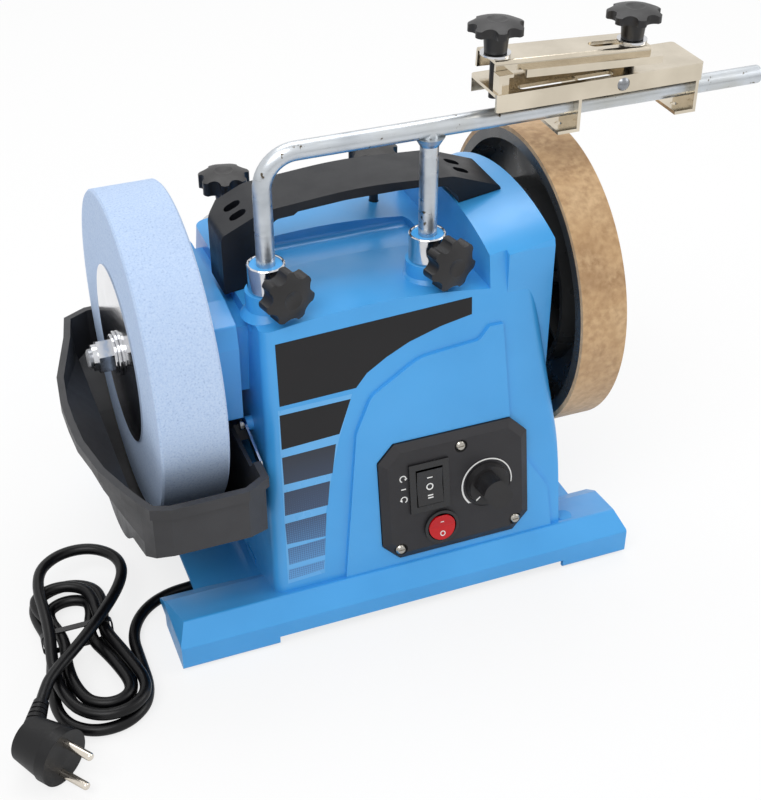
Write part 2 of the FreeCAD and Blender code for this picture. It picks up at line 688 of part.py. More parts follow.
# Foot closure, rubber feet and screws
def base_plate():
    y0 = front_y(BODY_LOW_Z) + WALL + CLEAR
    y1 = back_y(BODY_LOW_Z) - WALL - CLEAR
    plan = rectangle(left_x(BODY_LOW_Z) + WALL + CLEAR, right_x(BODY_LOW_Z) - WALL - CLEAR, y0, y1)
    plate = prism_z(plan, BODY_LOW_Z - PLATE_THICK, BODY_LOW_Z, 6.0)
    for x in (-40.0, -20.0, 0.0, 20.0, 40.0):
        plate = plate.cut(box(x - 2, x + 2, 30, 70, 0, 20))
    for x, y in plate_screw_places():
        plate = plate.cut(rod(V(x, y, 0), Z_AXIS, 2.2, 20))
    for x, y in motor_screw_places():
        plate = plate.cut(rod(V(x, y, 0), Z_AXIS, 2.25, 20))
    x = left_x(GLAND_Z)
    return plate.cut(box(x - 5, x + 8.3, GLAND_Y - 9.4, GLAND_Y + 9.4, 0, 20))


def plate_screw_places():
    x0 = left_x(BODY_LOW_Z) + WALL + 4.5
    x1 = right_x(BODY_LOW_Z) - WALL - 4.5
    y0 = front_y(BODY_LOW_Z) + WALL + 4.5
    y1 = back_y(BODY_LOW_Z) - WALL - 4.5
    return [(x0, y0), (x1, y0), (x0, y1), (x1, y1)]


def screw_posts():
    return [rod(V(x, y, BODY_LOW_Z), Z_AXIS, 5.0, 22.0) for x, y in plate_screw_places()]


def base_screws():
    screws = []
    for x, y in plate_screw_places():
        head = rod(V(x, y, BODY_LOW_Z - PLATE_THICK - 2.2), Z_AXIS, 4.0, 2.2)
        screws.append(head.fuse(rod(V(x, y, BODY_LOW_Z - PLATE_THICK), Z_AXIS, 2.0, 14.0)))
    return screws


def rubber_places():
    y0 = FOOT_FRONT_Y + RUBBER_IN
    y1 = FOOT_BACK_Y - RUBBER_IN
    return [(x, y) for x in (FOOT_LEFT_X + 21, FOOT_RIGHT_X - 21) for y in (y0, y1)]


def foot_posts():
    return [rod(V(x, y, RUBBER_HIGH), Z_AXIS, RUBBER_R, FOOT_EDGE_Z - RUBBER_HIGH - 1)
            for x, y in rubber_places()]


def rubber_feet():
    feet = []
    for x, y in rubber_places():
        pad = Part.makeCone(RUBBER_R - 1.5, RUBBER_R, RUBBER_HIGH, V(x, y, 0), Z_AXIS)
        feet.append(pad.cut(rod(V(x, y, -1), Z_AXIS, 3.0, 3.5)))
    return feet


# Spindle: X stations from the stone's outer face inwards, and from the honing wheel's
def x_stone_back():
    return STONE_FACE_X + STONE_WIDE


def stone():
    disc = pipe_ring(V(STONE_FACE_X, 0, SHAFT_Z), X_AXIS, STONE_R, STONE_BORE_R, STONE_WIDE)
    rims = [e for e in disc.Edges if e.Curve.TypeId == "Part::GeomCircle"
            and abs(e.Curve.Radius - STONE_R) < 0.1]
    return disc.makeChamfer(STONE_EDGE, rims)


def stone_bush():
    return pipe_ring(V(STONE_FACE_X, 0, SHAFT_Z), X_AXIS, STONE_BORE_R, SHAFT_R, STONE_WIDE)


def face_disc():
    x = STONE_FACE_X - FACE_DISC_THICK
    return pipe_ring(V(x, 0, SHAFT_Z), X_AXIS, FACE_DISC_R, SHAFT_R, FACE_DISC_THICK)


def back_flange():
    x = x_stone_back()
    flange = pipe_ring(V(x, 0, SHAFT_Z), X_AXIS, BACK_FLANGE_R, SHAFT_R, 2.0)
    hub = pipe_ring(V(x + 2.0, 0, SHAFT_Z), X_AXIS, 9.0, SHAFT_R, LEFT_BEARING_X - x - 2.0)
    return flange.fuse(hub).removeSplitter()


def washers():
    parts = []
    for i in range(2):
        x = STONE_FACE_X - FACE_DISC_THICK - WASHER_THICK * (i + 1)
        r = WASHER_R if i == 0 else WASHER_R - 1.5
        ring = pipe_ring(V(x, 0, SHAFT_Z), X_AXIS, r, SHAFT_R, WASHER_THICK)
        rims = [e for e in ring.Edges if e.Curve.TypeId == "Part::GeomCircle"
                and abs(e.Curve.Radius - r) < 0.1]
        parts.append(ring.makeChamfer(WASHER_BEVEL, rims))
    return parts


def stone_nut_x():
    return STONE_FACE_X - FACE_DISC_THICK - 2 * WASHER_THICK - NUT_THICK


def lock_nut(x, outward):
    """Hexagon nut whose far end carries a round locking crown."""
    body = hexagon(V(x, 0, SHAFT_Z), X_AXIS, NUT_FLATS, NUT_THICK)
    start = x - 3.0 if outward < 0 else x + NUT_THICK
    crown = rod(V(start, 0, SHAFT_Z), X_AXIS, NUT_FLATS * 0.43, 3.0)
    nut = body.fuse(crown)
    return nut.cut(rod(V(x - 10, 0, SHAFT_Z), X_AXIS, SHAFT_R, NUT_THICK + 20)).removeSplitter()


def main_shaft():
    x0 = stone_nut_x() - SHAFT_STICK_OUT - 3.0
    x1 = HONING_FACE_X + NUT_THICK + 3.0 + SHAFT_STICK_OUT
    shaft = rod(V(x0, 0, SHAFT_Z), X_AXIS, SHAFT_R, x1 - x0)
    ends = [e for e in shaft.Edges if e.Curve.TypeId == "Part::GeomCircle"]
    shaft = shaft.makeChamfer(1.0, ends)
    x2 = RIGHT_BEARING_X + BEARING_WIDE
    shoulder = rod(V(x2, 0, SHAFT_Z), X_AXIS, 9.0, HONING_FACE_X - HONING_WIDE - 1 - x2)
    return shaft.fuse(shoulder).removeSplitter()


def drive_wheel():
    """Spoked wheel on the spindle that carries the rubber tyre."""
    x1 = DRIVE_X + DRIVE_WIDE
    rim_r = DRIVE_R - TYRE_THICK
    rim = pipe_ring(V(DRIVE_X, 0, SHAFT_Z), X_AXIS, rim_r, rim_r - 6, DRIVE_WIDE)
    web = pipe_ring(V(DRIVE_X + 4, 0, SHAFT_Z), X_AXIS, rim_r - 5, SHAFT_R, 4.0)
    hub = pipe_ring(V(DRIVE_X - 6, 0, SHAFT_Z), X_AXIS, 14.0, SHAFT_R, x1 - DRIVE_X + 6)
    wheel = fuse([rim, web, hub])
    for i in range(6):
        a = math.radians(60 * i)
        centre = V(DRIVE_X, 32 * math.cos(a), SHAFT_Z + 32 * math.sin(a))
        wheel = wheel.cut(rod(centre, X_AXIS, 10.0, DRIVE_WIDE))
    return wheel


def drive_tyre():
    return pipe_ring(V(DRIVE_X, 0, SHAFT_Z), X_AXIS, DRIVE_R, DRIVE_R - TYRE_THICK, DRIVE_WIDE)


def honing_core():
    """Moulded wheel: rim, recessed web with ribs towards the body, hub."""
    x0 = HONING_FACE_X - HONING_WIDE
    r = HONING_R - LEATHER_THICK
    rim = pipe_ring(V(x0, 0, SHAFT_Z), X_AXIS, r, r - HONING_RIM, HONING_WIDE)
    web_x = HONING_FACE_X - HONING_WEB - 6
    web = pipe_ring(V(web_x, 0, SHAFT_Z), X_AXIS, r - 1, SHAFT_R, HONING_WEB)
    hub = pipe_ring(V(x0 - 1, 0, SHAFT_Z), X_AXIS, HONING_HUB_R, SHAFT_R, HONING_WIDE + 1)
    step = pipe_ring(V(x0 + 6, 0, SHAFT_Z), X_AXIS, 62.0, 58.0, web_x - x0 - 5)
    pieces = [rim, web, hub, step]
    for i in range(8):
        rib = box(x0 + 8, web_x + 1, HONING_HUB_R - 2, 59.0, SHAFT_Z - 1.5, SHAFT_Z + 1.5)
        rib.rotate(V(0, 0, SHAFT_Z), X_AXIS, 45.0 * i + 22.5)
        pieces.append(rib)
    return fuse(pieces)


def honing_leather():
    x0 = HONING_FACE_X - HONING_WIDE
    return pipe_ring(V(x0, 0, SHAFT_Z), X_AXIS, HONING_R, HONING_R - LEATHER_THICK, HONING_WIDE)


def bearing(x):
    """Ball bearing: two rings with a ball row and shields between them."""
    outer = pipe_ring(V(x, 0, SHAFT_Z), X_AXIS, BEARING_R, BEARING_R - 3, BEARING_WIDE)
    shield = pipe_ring(V(x + 1, 0, SHAFT_Z), X_AXIS, BEARING_R - 2.5, SHAFT_R + 2.5, BEARING_WIDE - 2)
    inner = pipe_ring(V(x, 0, SHAFT_Z), X_AXIS, SHAFT_R + 3, SHAFT_R + RUNNING, BEARING_WIDE)
    return fuse([outer, shield, inner])


# Motor
def motor_place():
    """Axis of the motor, straight below the spindle so that the roller meets the tyre."""
    return V(DRIVE_X - MOTOR_GAP_X, 0, SHAFT_Z - DRIVE_R - ROLLER_R - ROLLER_GAP)


def motor_can():
    p = motor_place()
    start = V(p.x - MOTOR_LONG, p.y, p.z)
    can = pipe_ring(start, X_AXIS, MOTOR_R, MOTOR_R - MOTOR_WALL, MOTOR_LONG)
    cap = pipe_ring(V(p.x - 4.0, p.y, p.z), X_AXIS, MOTOR_R - MOTOR_WALL + 0.5, 4.0 + RUNNING, 4.0)
    return fuse([can, cap])


def motor_end_cap():
    p = motor_place()
    back = V(p.x - MOTOR_LONG - 6.0, p.y, p.z)
    cup = pipe_ring(back, X_AXIS, MOTOR_R, 4.0 + RUNNING, 6.0)
    nose = pipe_ring(back - X_AXIS * 8.0, X_AXIS, 12.0, 4.0 + RUNNING, 8.0)
    cap = fuse([cup, nose])
    for i in range(8):
        slot = box(back.x - 1, back.x + 7, 18, 30, p.z - 2.5, p.z + 2.5)
        slot.rotate(p, X_AXIS, 45.0 * i)
        cap = cap.cut(slot)
    return cap


def motor_bracket():
    """Folded cradle on the floor plate; its front cheek takes the motor's nose."""
    p = motor_place()
    thick = 2.5
    low = BODY_LOW_Z
    under = p.z - MOTOR_R - CLEAR
    x0 = p.x - MOTOR_LONG + 8
    foot_plate = box(x0, p.x + 4 + thick, -34, 34, low, low + thick)
    saddle = box(x0, x0 + 20, -24, 24, low, p.z - 8)
    saddle = saddle.cut(rod(V(x0 - 5, p.y, p.z), X_AXIS, MOTOR_R + RUNNING, 40))
    saddle = saddle.cut(box(x0 + thick, x0 + 20 - thick, -30, 30, low + thick, under))
    cheek = box(p.x + 0.3, p.x + 0.3 + thick, -34, 34, low, p.z + 24)
    cheek = cheek.cut(rod(V(p.x - 5, p.y, p.z), X_AXIS, 6.0, 20))
    plate = fuse([foot_plate, saddle, cheek])
    for x, y in motor_screw_places():
        plate = plate.cut(rod(V(x, y, 0), Z_AXIS, 2.6, 40))
    return plate


def motor_screw_places():
    p = motor_place()
    return [(x, y) for x in (p.x - MOTOR_LONG + 36, p.x - 14) for y in (-28.0, 28.0)]


def motor_screws():
    screws = []
    top = BODY_LOW_Z + 2.5
    for x, y in motor_screw_places():
        head = hexagon(V(x, y, top), Z_AXIS, 8.0, 3.5)
        screws.append(head.fuse(rod(V(x, y, BODY_LOW_Z - PLATE_THICK), Z_AXIS, 2.2, top - BODY_LOW_Z + 3)))
    return screws


def motor_rotor():
    p = motor_place()
    x0 = p.x - MOTOR_LONG
    shaft = rod(V(x0 - 16, p.y, p.z), X_AXIS, 4.0, DRIVE_X + DRIVE_WIDE + 1 - x0 + 16)
    core = rod(V(x0 + 20, p.y, p.z), X_AXIS, MOTOR_R - MOTOR_WALL - 7, 44)
    for i in range(12):
        a = math.radians(30 * i)
        r = MOTOR_R - MOTOR_WALL - 8
        slot = V(x0 + 19, p.y + r * math.cos(a), p.z + r * math.sin(a))
        core = core.cut(rod(slot, X_AXIS, 2.5, 46))
    commutator = rod(V(x0 + 4, p.y, p.z), X_AXIS, 11.0, 12)
    return fuse([shaft, core, commutator])


def friction_roller():
    p = motor_place()
    return pipe_ring(V(DRIVE_X - 1, p.y, p.z), X_AXIS, ROLLER_R, 4.0, DRIVE_WIDE + 2)


def control_board():
    """Speed control board on the floor plate behind the panel."""
    board = box(-86, -46, -60, 30, BODY_LOW_Z + 6, BODY_LOW_Z + 7.6)
    legs = [rod(V(x, y, BODY_LOW_Z), Z_AXIS, 3.0, 6.5) for x in (-82, -50) for y in (-56, 26)]
    choke = pipe_ring(V(-66, 4, BODY_LOW_Z + 7.5), Z_AXIS, 11.0, 5.0, 9.0)
    cans = [rod(V(-74 + 16 * i, -20, BODY_LOW_Z + 7.5), Z_AXIS, 6.0, 20.0) for i in range(2)]
    fin = box(-84, -48, -46, -42, BODY_LOW_Z + 7.5, BODY_LOW_Z + 34)
    return fuse([board, choke, fin] + legs + cans)


# Support bar: one rod bent down at the left, with a second leg welded on
def support_bar():
    x0 = STEM_LEFT_X
    leg = rod(V(x0, STEM_Y, STEM_END_Z), Z_AXIS, ROD_R, BAR_Z - BAR_BEND_R - STEM_END_Z)
    ring = Part.makeCircle(ROD_R, V(x0, STEM_Y, BAR_Z - BAR_BEND_R), Z_AXIS)
    bend = Part.Face(Part.Wire([ring])).revolve(V(x0 + BAR_BEND_R, STEM_Y, BAR_Z - BAR_BEND_R),
                                                Y_AXIS, 90)
    bar = rod(V(x0 + BAR_BEND_R, STEM_Y, BAR_Z), X_AXIS, ROD_R, BAR_TIP_X - x0 - BAR_BEND_R)
    tip = [e for e in bar.Edges if e.Curve.TypeId == "Part::GeomCircle" and e.Vertexes[0].X > 200]
    bar = bar.makeFillet(1.2, tip)
    second = rod(V(STEM_RIGHT_X, STEM_Y, STEM_END_Z), Z_AXIS, ROD_R, BAR_Z - STEM_END_Z)
    weld_low = BAR_Z - ROD_R - 4.5
    weld = Part.makeCone(ROD_R + 0.2, WELD_R, 5.5, V(STEM_RIGHT_X, STEM_Y, weld_low), Z_AXIS)
    return fuse([leg, bend, bar, second, weld])


def chrome_collar(centre, axis, high, knob, drop):
    """Turned collar with a bright lip; its side hole takes the knob's stud."""
    ring = pipe_ring(centre - axis * high, axis, COLLAR_R, COLLAR_R - COLLAR_WALL, high)
    rims = [e for e in ring.Edges if e.Curve.TypeId == "Part::GeomCircle"]
    ring = ring.makeChamfer(0.5, rims)
    middle = centre - axis * drop
    return ring.cut(rod(middle, knob, STUD_R + RUNNING, COLLAR_R + 5))


def front_collar(x):
    return chrome_collar(V(x, STEM_Y, COLLAR_TOP_Z), Z_AXIS, COLLAR_HIGH, front_knob_axis(),
                         COLLAR_KNOB_DROP)


def rear_collar(x):
    """Plain bright ring over the guide's mouth on the back wall."""
    face = back_y(REAR_GUIDE_Z) + REAR_PAD_OUT
    ring = pipe_ring(V(x, face, REAR_GUIDE_Z), Y_AXIS, COLLAR_R, COLLAR_R - COLLAR_WALL, REAR_COLLAR_HIGH)
    return ring.makeChamfer(0.5, [e for e in ring.Edges if e.Curve.TypeId == "Part::GeomCircle"])


def star_knob(radius, high, hub_r, hub_high, stud_long):
    """Knob about Z with its hub's foot at the origin: lobed head over a hub, steel stud below."""
    pitch = radius * 0.78
    lobe_r = radius * 0.30
    head = rod(V(0, 0, hub_high), Z_AXIS, radius * 0.88, high)
    for i in range(KNOB_LOBES):
        a = 2 * math.pi * i / KNOB_LOBES
        centre = V(pitch * math.cos(a), pitch * math.sin(a), hub_high)
        head = head.fuse(rod(centre, Z_AXIS, lobe_r, high))
    for i in range(KNOB_LOBES):
        a = 2 * math.pi * (i + 0.5) / KNOB_LOBES
        gap = radius * 1.20
        centre = V(gap * math.cos(a), gap * math.sin(a), hub_high - 1)
        head = head.cut(rod(centre, Z_AXIS, radius * 0.36, high + 2))
    dome = Part.makeSphere(radius * 2.6, V(0, 0, hub_high + high - radius * 2.6))
    head = head.removeSplitter().common(dome)
    dish = Part.makeSphere(radius * 1.1, V(0, 0, hub_high + high + radius * 1.0))
    head = head.cut(dish)
    hub = Part.makeCone(hub_r, hub_r + 1.0, hub_high + 0.5, V(0, 0, 0), Z_AXIS)
    knob = head.fuse(hub).removeSplitter()
    stud = rod(V(0, 0, -stud_long), Z_AXIS, STUD_R - RUNNING, stud_long)
    return Part.makeCompound([knob, stud])


def seat_on(shape, foot_point, axis):
    shape = shape.copy()
    shape.Placement = FreeCAD.Placement(foot_point, FreeCAD.Rotation(Z_AXIS, axis))
    return shape


def guide_stud_length():
    return COLLAR_R + 0.3 - ROD_R - STUD_SLACK


def front_knob(x):
    knob = star_knob(KNOB_R, KNOB_HIGH, KNOB_HUB_R, KNOB_HUB_HIGH, guide_stud_length())
    axis = front_knob_axis()
    middle = V(x, STEM_Y, COLLAR_TOP_Z - COLLAR_KNOB_DROP)
    return seat_on(knob, middle + axis * (COLLAR_R + 0.3), axis)


def rear_knob(x):
    stud = REAR_KNOB_FOOT_Z - REAR_GUIDE_Z - ROD_R - STUD_SLACK
    knob = star_knob(KNOB_R, KNOB_HIGH, KNOB_HUB_R, REAR_KNOB_HUB_HIGH, stud)
    return seat_on(knob, V(x, REAR_KNOB_Y, REAR_KNOB_FOOT_Z), Z_AXIS)


# Handle: flat arched grip on two legs, tool holes in its ends
def handle():
    left = HANDLE_LEFT_X
    right = HANDLE_RIGHT_X
    sill = deck_z(left) + CLEAR
    outline = [(left, sill - 6, 0), (left, HANDLE_END_Z - 4, 5), (left + 26, HANDLE_TOP_Z - 3.5, 20),
               (-12, HANDLE_TOP_Z + 1.5, 300), (46, HANDLE_TOP_Z - 2.5, 16),
               (right, HANDLE_RIGHT_END_Z, 3), (right, SHOULDER_INNER_Z - 10, 0),
               (HANDLE_HEEL_X, SHOULDER_INNER_Z - 10, 0), (HANDLE_HEEL_X, SHOULDER_INNER_Z + 4, 4),
               (HANDLE_HEEL_X - 8, HANDLE_UNDER_Z, 8), (-12, HANDLE_UNDER_Z + 1.5, 300),
               (HANDLE_LEG_X + 10, HANDLE_UNDER_Z - 2.0, 5), (HANDLE_LEG_X, HANDLE_UNDER_Z - 12, 5),
               (HANDLE_LEG_X, sill - 6, 0)]
    grip = prism_y(outline, HANDLE_FRONT_Y, HANDLE_BACK_Y)
    corner = [(left - 1, HANDLE_BACK_Y - 13), (left - 1, HANDLE_BACK_Y + 1), (left + 9, HANDLE_BACK_Y + 1)]
    grip = grip.cut(prism_z(corner, 150, 300))
    for y, inward in ((HANDLE_FRONT_Y, 1), (HANDLE_BACK_Y, -1)):
        relief = [(HANDLE_LEG_X + 14, HANDLE_UNDER_Z - 6), (HANDLE_HEEL_X - 14, HANDLE_UNDER_Z - 6),
                  (HANDLE_HEEL_X - 24, HANDLE_UNDER_Z + 2.5), (HANDLE_LEG_X + 26, HANDLE_UNDER_Z + 2.5)]
        y0, y1 = sorted((y - inward, y + 3 * inward))
        grip = grip.cut(prism_y(relief, y0, y1, 2.0))
    for x, y in tool_slot_places():
        plan = rectangle(x - SLOT_LONG / 2, x + SLOT_LONG / 2, y - SLOT_WIDE / 2, y + SLOT_WIDE / 2)
        grip = grip.cut(prism_z(plan, handle_top(x) - SLOT_DEEP, HANDLE_TOP_Z + 10, SLOT_WIDE / 2 - 0.1))
    for x, y in handle_screw_places():
        high = handle_screw_z(x, y) + handle_screw_long(x) - 149
        grip = grip.cut(rod(V(x, y, 150), Z_AXIS, 2.0 + SEAT, high))
    grip = grip.cut(deck_limit(-CLEAR))
    grip = grip.cut(shoulder_limit(SHOULDER_X - 0.2, RIGHT_RING_X + 6, -CLEAR))
    return grip.removeSplitter()


def handle_top(x):
    """Height of the grip's sloping ends."""
    if x < 0:
        return HANDLE_END_Z - 4 + (x - HANDLE_LEFT_X) * (HANDLE_TOP_Z - HANDLE_END_Z + 0.5) / 26
    return HANDLE_TOP_Z - 2.5 - (x - 46) * (HANDLE_TOP_Z - 2.5 - HANDLE_RIGHT_END_Z) / (HANDLE_RIGHT_X - 46)


def tool_slot_places():
    return [(-86.0, 0.0), (-86.0, -12.0), (56.0, 2.0), (57.0, -10.0)]


def handle_screw_places():
    return [(-85.5, -14.0), (-85.5, 8.0), (64.0, -14.0), (64.0, 8.0)]


def handle_screw_z(x, y):
    """Underside of a handle screw's seat, inside the housing."""
    skin = deck_z(x) - SCOOP_DEEP - WALL if x < 0 else shoulder_z(x, y) - WALL
    return skin - 0.9


def handle_screw_long(x):
    return SCOOP_DEEP + WALL + 14 if x < 0 else WALL + 8


def handle_screws():
    """Screws from inside the housing up into the handle's feet."""
    screws = []
    for x, y in handle_screw_places():
        seat = handle_screw_z(x, y)
        head = rod(V(x, y, seat - 2.5), Z_AXIS, 4.0, 2.5)
        screws.append(head.fuse(rod(V(x, y, seat - 0.5), Z_AXIS, 2.0, handle_screw_long(x))))
    return screws


# Control panel pieces, drawn in the panel's own frame and then leaned back
def panel_bezel():
    half_x = PANEL_WIDE / 2
    half_z = PANEL_HIGH / 2
    k = PANEL_CORNER
    face = -PANEL_THICK
    b = PANEL_BEVEL
    top = face - PAD_OUT
    base = -PANEL_RIM - PAD_OUT
    wires = []
    for inset, y in ((0.0, base), (b, top)):
        hx = half_x - inset
        hz = half_z - inset
        c = k - inset * 0.4
        points = [V(-hx + c, y, -hz), V(hx - c, y, -hz), V(hx, y, -hz + c), V(hx, y, hz - c),
                  V(hx - c, y, hz), V(-hx + c, y, hz), V(-hx, y, hz - c), V(-hx, y, -hz + c)]
        wires.append(Part.makePolygon(points + [points[0]]))
    crown = Part.makeLoft(wires, True, True)
    plate = panel_outline(0, base, 1.5 - PAD_OUT).fuse(crown)
    deep = box(-half_x + 9, half_x - 9, -PAD_OUT - 1.4, 3, -half_z + 15, half_z - 15)
    plate = plate.cut(deep)
    rocker = box(ROCKER_X - ROCKER_WIDE / 2, ROCKER_X + ROCKER_WIDE / 2, -20, 20,
                 ROCKER_UP - ROCKER_HIGH / 2, ROCKER_UP + ROCKER_HIGH / 2)
    plate = plate.cut(rocker)
    plate = plate.cut(rod(V(POWER_X, -20, POWER_UP), Y_AXIS, POWER_CASE_R + 0.3, 40))
    plate = plate.cut(rod(V(DIAL_X, -20, DIAL_UP), Y_AXIS, 5.2, 40))
    ring = pipe_ring(V(DIAL_X, top - 0.4, DIAL_UP), Y_AXIS, DIAL_FACE_R, DIAL_FACE_R - 1.2, 0.8)
    plate = plate.fuse(ring)
    for x, z in PANEL_SCREWS:
        plate = plate.cut(rod(V(x, top - 1, z), Y_AXIS, 4.2, 1.8))
        plate = plate.cut(rod(V(x, top - 1, z), Y_AXIS, 1.9, 20))
    return on_panel(plate.removeSplitter())


def panel_face():
    return -PANEL_THICK - PAD_OUT


def panel_screws():
    screws = []
    for x, z in PANEL_SCREWS:
        y = panel_face() - 0.4
        head = Part.makeCone(2.4, 3.4, 1.2, V(x, y, z), Y_AXIS)
        head = head.cut(box(x - 2, x + 2, y - 1, y + 0.6, z - 0.5, z + 0.5))
        shank = rod(V(x, y + 1.1, z), Y_AXIS, 1.5, 12.0)
        screws.append(on_panel(head.fuse(shank)))
    return screws


def direction_switch_case():
    """Frame flush on the panel and the contact box behind it."""
    w = ROCKER_WIDE / 2
    h = ROCKER_HIGH / 2
    face = panel_face()
    flange = box(ROCKER_X - w - 2.2, ROCKER_X + w + 2.2, face - 1.6, face - 0.05,
                 ROCKER_UP - h - 2.2, ROCKER_UP + h + 2.2)
    case = box(ROCKER_X - w + 0.3, ROCKER_X + w - 0.3, face - 0.1, face + 22, ROCKER_UP - h + 0.3,
               ROCKER_UP + h - 0.3)
    mouth = box(ROCKER_X - w + ROCKER_FRAME, ROCKER_X + w - ROCKER_FRAME, face - 5, face + 10,
                ROCKER_UP - h + ROCKER_FRAME, ROCKER_UP + h - ROCKER_FRAME)
    tabs = [box(ROCKER_X - 6 + 4 * i, ROCKER_X - 4.8 + 4 * i, face + 21.5, face + 29,
                ROCKER_UP - 3, ROCKER_UP + 3) for i in range(4)]
    seat = pivot(rocker_axis(), ROCKER_WIDE / 2 - ROCKER_FRAME, RUNNING)
    return on_panel(fuse([flange, case]).cut(mouth).cut(seat).fuse(tabs).removeSplitter())


def pivot(centre, half_mouth, grow):
    """Round pin across a rocker, its ends in the case's side walls."""
    half = half_mouth + PIVOT_BITE + grow
    return rod(V(centre.x - half, centre.y, centre.z), X_AXIS, PIVOT_R + grow, 2 * half)


def rocker_axis():
    """Local point on the direction rocker's pivot, inside the mouth."""
    return V(ROCKER_X, panel_face() + 3.5, ROCKER_UP)


def direction_rocker():
    w = ROCKER_WIDE / 2 - ROCKER_FRAME - 0.5
    h = ROCKER_HIGH / 2 - ROCKER_FRAME - 0.9
    c = rocker_axis()
    front = panel_face() - 2.6
    outline = [(c.y + 2.5, -h + 5), (front, -h), (front + 1.3, 0), (front, h), (c.y + 2.5, h - 5)]
    body = prism_x([(y, ROCKER_UP + z) for y, z in outline], ROCKER_X - w, ROCKER_X + w)
    return on_panel(body.fuse(pivot(c, ROCKER_WIDE / 2 - ROCKER_FRAME, 0.0)))


def power_switch_case():
    face = panel_face()
    ring = pipe_ring(V(POWER_X, face - 1.8, POWER_UP), Y_AXIS, POWER_RING_R, POWER_MOUTH_R, 1.75)
    case = rod(V(POWER_X, face - 0.1, POWER_UP), Y_AXIS, POWER_CASE_R, 20.0)
    case = case.cut(rod(V(POWER_X, face - 3, POWER_UP), Y_AXIS, POWER_MOUTH_R, 12.0))
    case = case.cut(pivot(power_axis(), POWER_MOUTH_R, RUNNING))
    tabs = [box(POWER_X - 1, POWER_X + 1, face + 19.5, face + 27, POWER_UP - 5 + 6 * i,
                POWER_UP - 1 + 6 * i) for i in range(2)]
    return on_panel(fuse([ring, case] + tabs))


def power_axis():
    return V(POWER_X, panel_face() + 3.0, POWER_UP)


def power_rocker():
    c = power_axis()
    front = panel_face() - 2.8
    r = POWER_R - 0.2
    outline = [(c.y + 2.0, -r + 4), (front, -r), (front + 1.2, 0), (front, r), (c.y + 2.0, r - 4)]
    body = prism_x([(y, POWER_UP + z) for y, z in outline], POWER_X - r, POWER_X + r)
    body = body.common(rod(V(POWER_X, front - 2, POWER_UP), Y_AXIS, r, 20))
    return on_panel(body.fuse(pivot(c, POWER_MOUTH_R, 0.0)))


def potentiometer():
    face = panel_face()
    bush = rod(V(DIAL_X, face - 0.6, DIAL_UP), Y_AXIS, 4.4, 8.1)
    can = rod(V(DIAL_X, 0.2, DIAL_UP), Y_AXIS, 12.0, 9.0)
    stem = rod(V(DIAL_X, face - 9.0, DIAL_UP), Y_AXIS, 2.8, 12.0)
    tabs = [box(DIAL_X - 6 + 5 * i, DIAL_X - 4 + 5 * i, 2, 3, DIAL_UP - 18, DIAL_UP - 11)
            for i in range(3)]
    return on_panel(fuse([bush, can, stem] + tabs))


def speed_knob():
    """Skirted pointer knob: two flats make the bar that is gripped."""
    face = panel_face() - 0.9
    skirt = Part.makeCone(DIAL_R - 1.2, DIAL_R, DIAL_SKIRT_HIGH, V(DIAL_X, face - DIAL_SKIRT_HIGH, DIAL_UP),
                          Y_AXIS)
    grip = Part.makeCone(DIAL_KNOB_R - 1.0, DIAL_KNOB_R, DIAL_HIGH, V(DIAL_X, face - DIAL_HIGH, DIAL_UP),
                         Y_AXIS)
    for side in (-1, 1):
        flank = box(side * 7.5, side * 30, -DIAL_HIGH, 0, -30, 30) if side > 0 else \
            box(-30, -7.5, -DIAL_HIGH, 0, -30, 30)
        flank.rotate(V(0, 0, 0), Y_AXIS, -35.0)
        flank.translate(V(DIAL_X, face - DIAL_SKIRT_HIGH, DIAL_UP))
        grip = grip.cut(flank)
    knob = fuse([skirt, grip])
    return on_panel(knob.cut(rod(V(DIAL_X, face - 9.5, DIAL_UP), Y_AXIS, 2.8 + RUNNING, 12.0)))


# Tilting jig: a channel that slides on the bar, a clamp bar over it, two screws
def jig_base():
    """Channel with folded flanges, a lug at its left end, a slot along its front."""
    top = JIG_TOP_Z
    low = top - JIG_FLANGE
    plan = [(JIG_LEFT_X, JIG_FRONT_Y), (JIG_RIGHT_X, JIG_FRONT_Y), (JIG_RIGHT_X, JIG_BACK_Y),
            (JIG_LEFT_X, JIG_BACK_Y)]
    block = prism_z(plan, low, top, 2.5)
    room = box(JIG_LEFT_X - 5, JIG_RIGHT_X + 5, JIG_FRONT_Y + SHEET, JIG_BACK_Y - SHEET, low - 5, top - SHEET)
    base = block.cut(room)
    lug = box(JIG_LUG[0], JIG_LUG[1], JIG_FRONT_Y + 0.6, CLAMP_FRONT_Y - 0.4, top - 1, top + JIG_LUG_HIGH)
    lug = lug.cut(box(JIG_LUG[0] + SHEET, JIG_LUG[1] + 5, JIG_FRONT_Y, CLAMP_FRONT_Y - 2,
                      top, top + JIG_LUG_HIGH - 1.8))
    base = base.fuse(lug)
    slot = rectangle(JIG_SLOT[0], JIG_SLOT[1], JIG_FRONT_Y + 3.5, JIG_FRONT_Y + 9.5)
    base = base.cut(prism_z(slot, top - SHEET - 1, top + 1, 2.9))
    for x in JIG_KNOBS_X:
        base = base.cut(rod(V(x, JIG_KNOB_Y, low), Z_AXIS, STUD_R + RUNNING, JIG_FLANGE + 5))
    base = base.cut(rod(V(RIVET_X, JIG_FRONT_Y - 1, top - JIG_FLANGE / 2), Y_AXIS, 2.0, SHEET + 2))
    return base.removeSplitter()


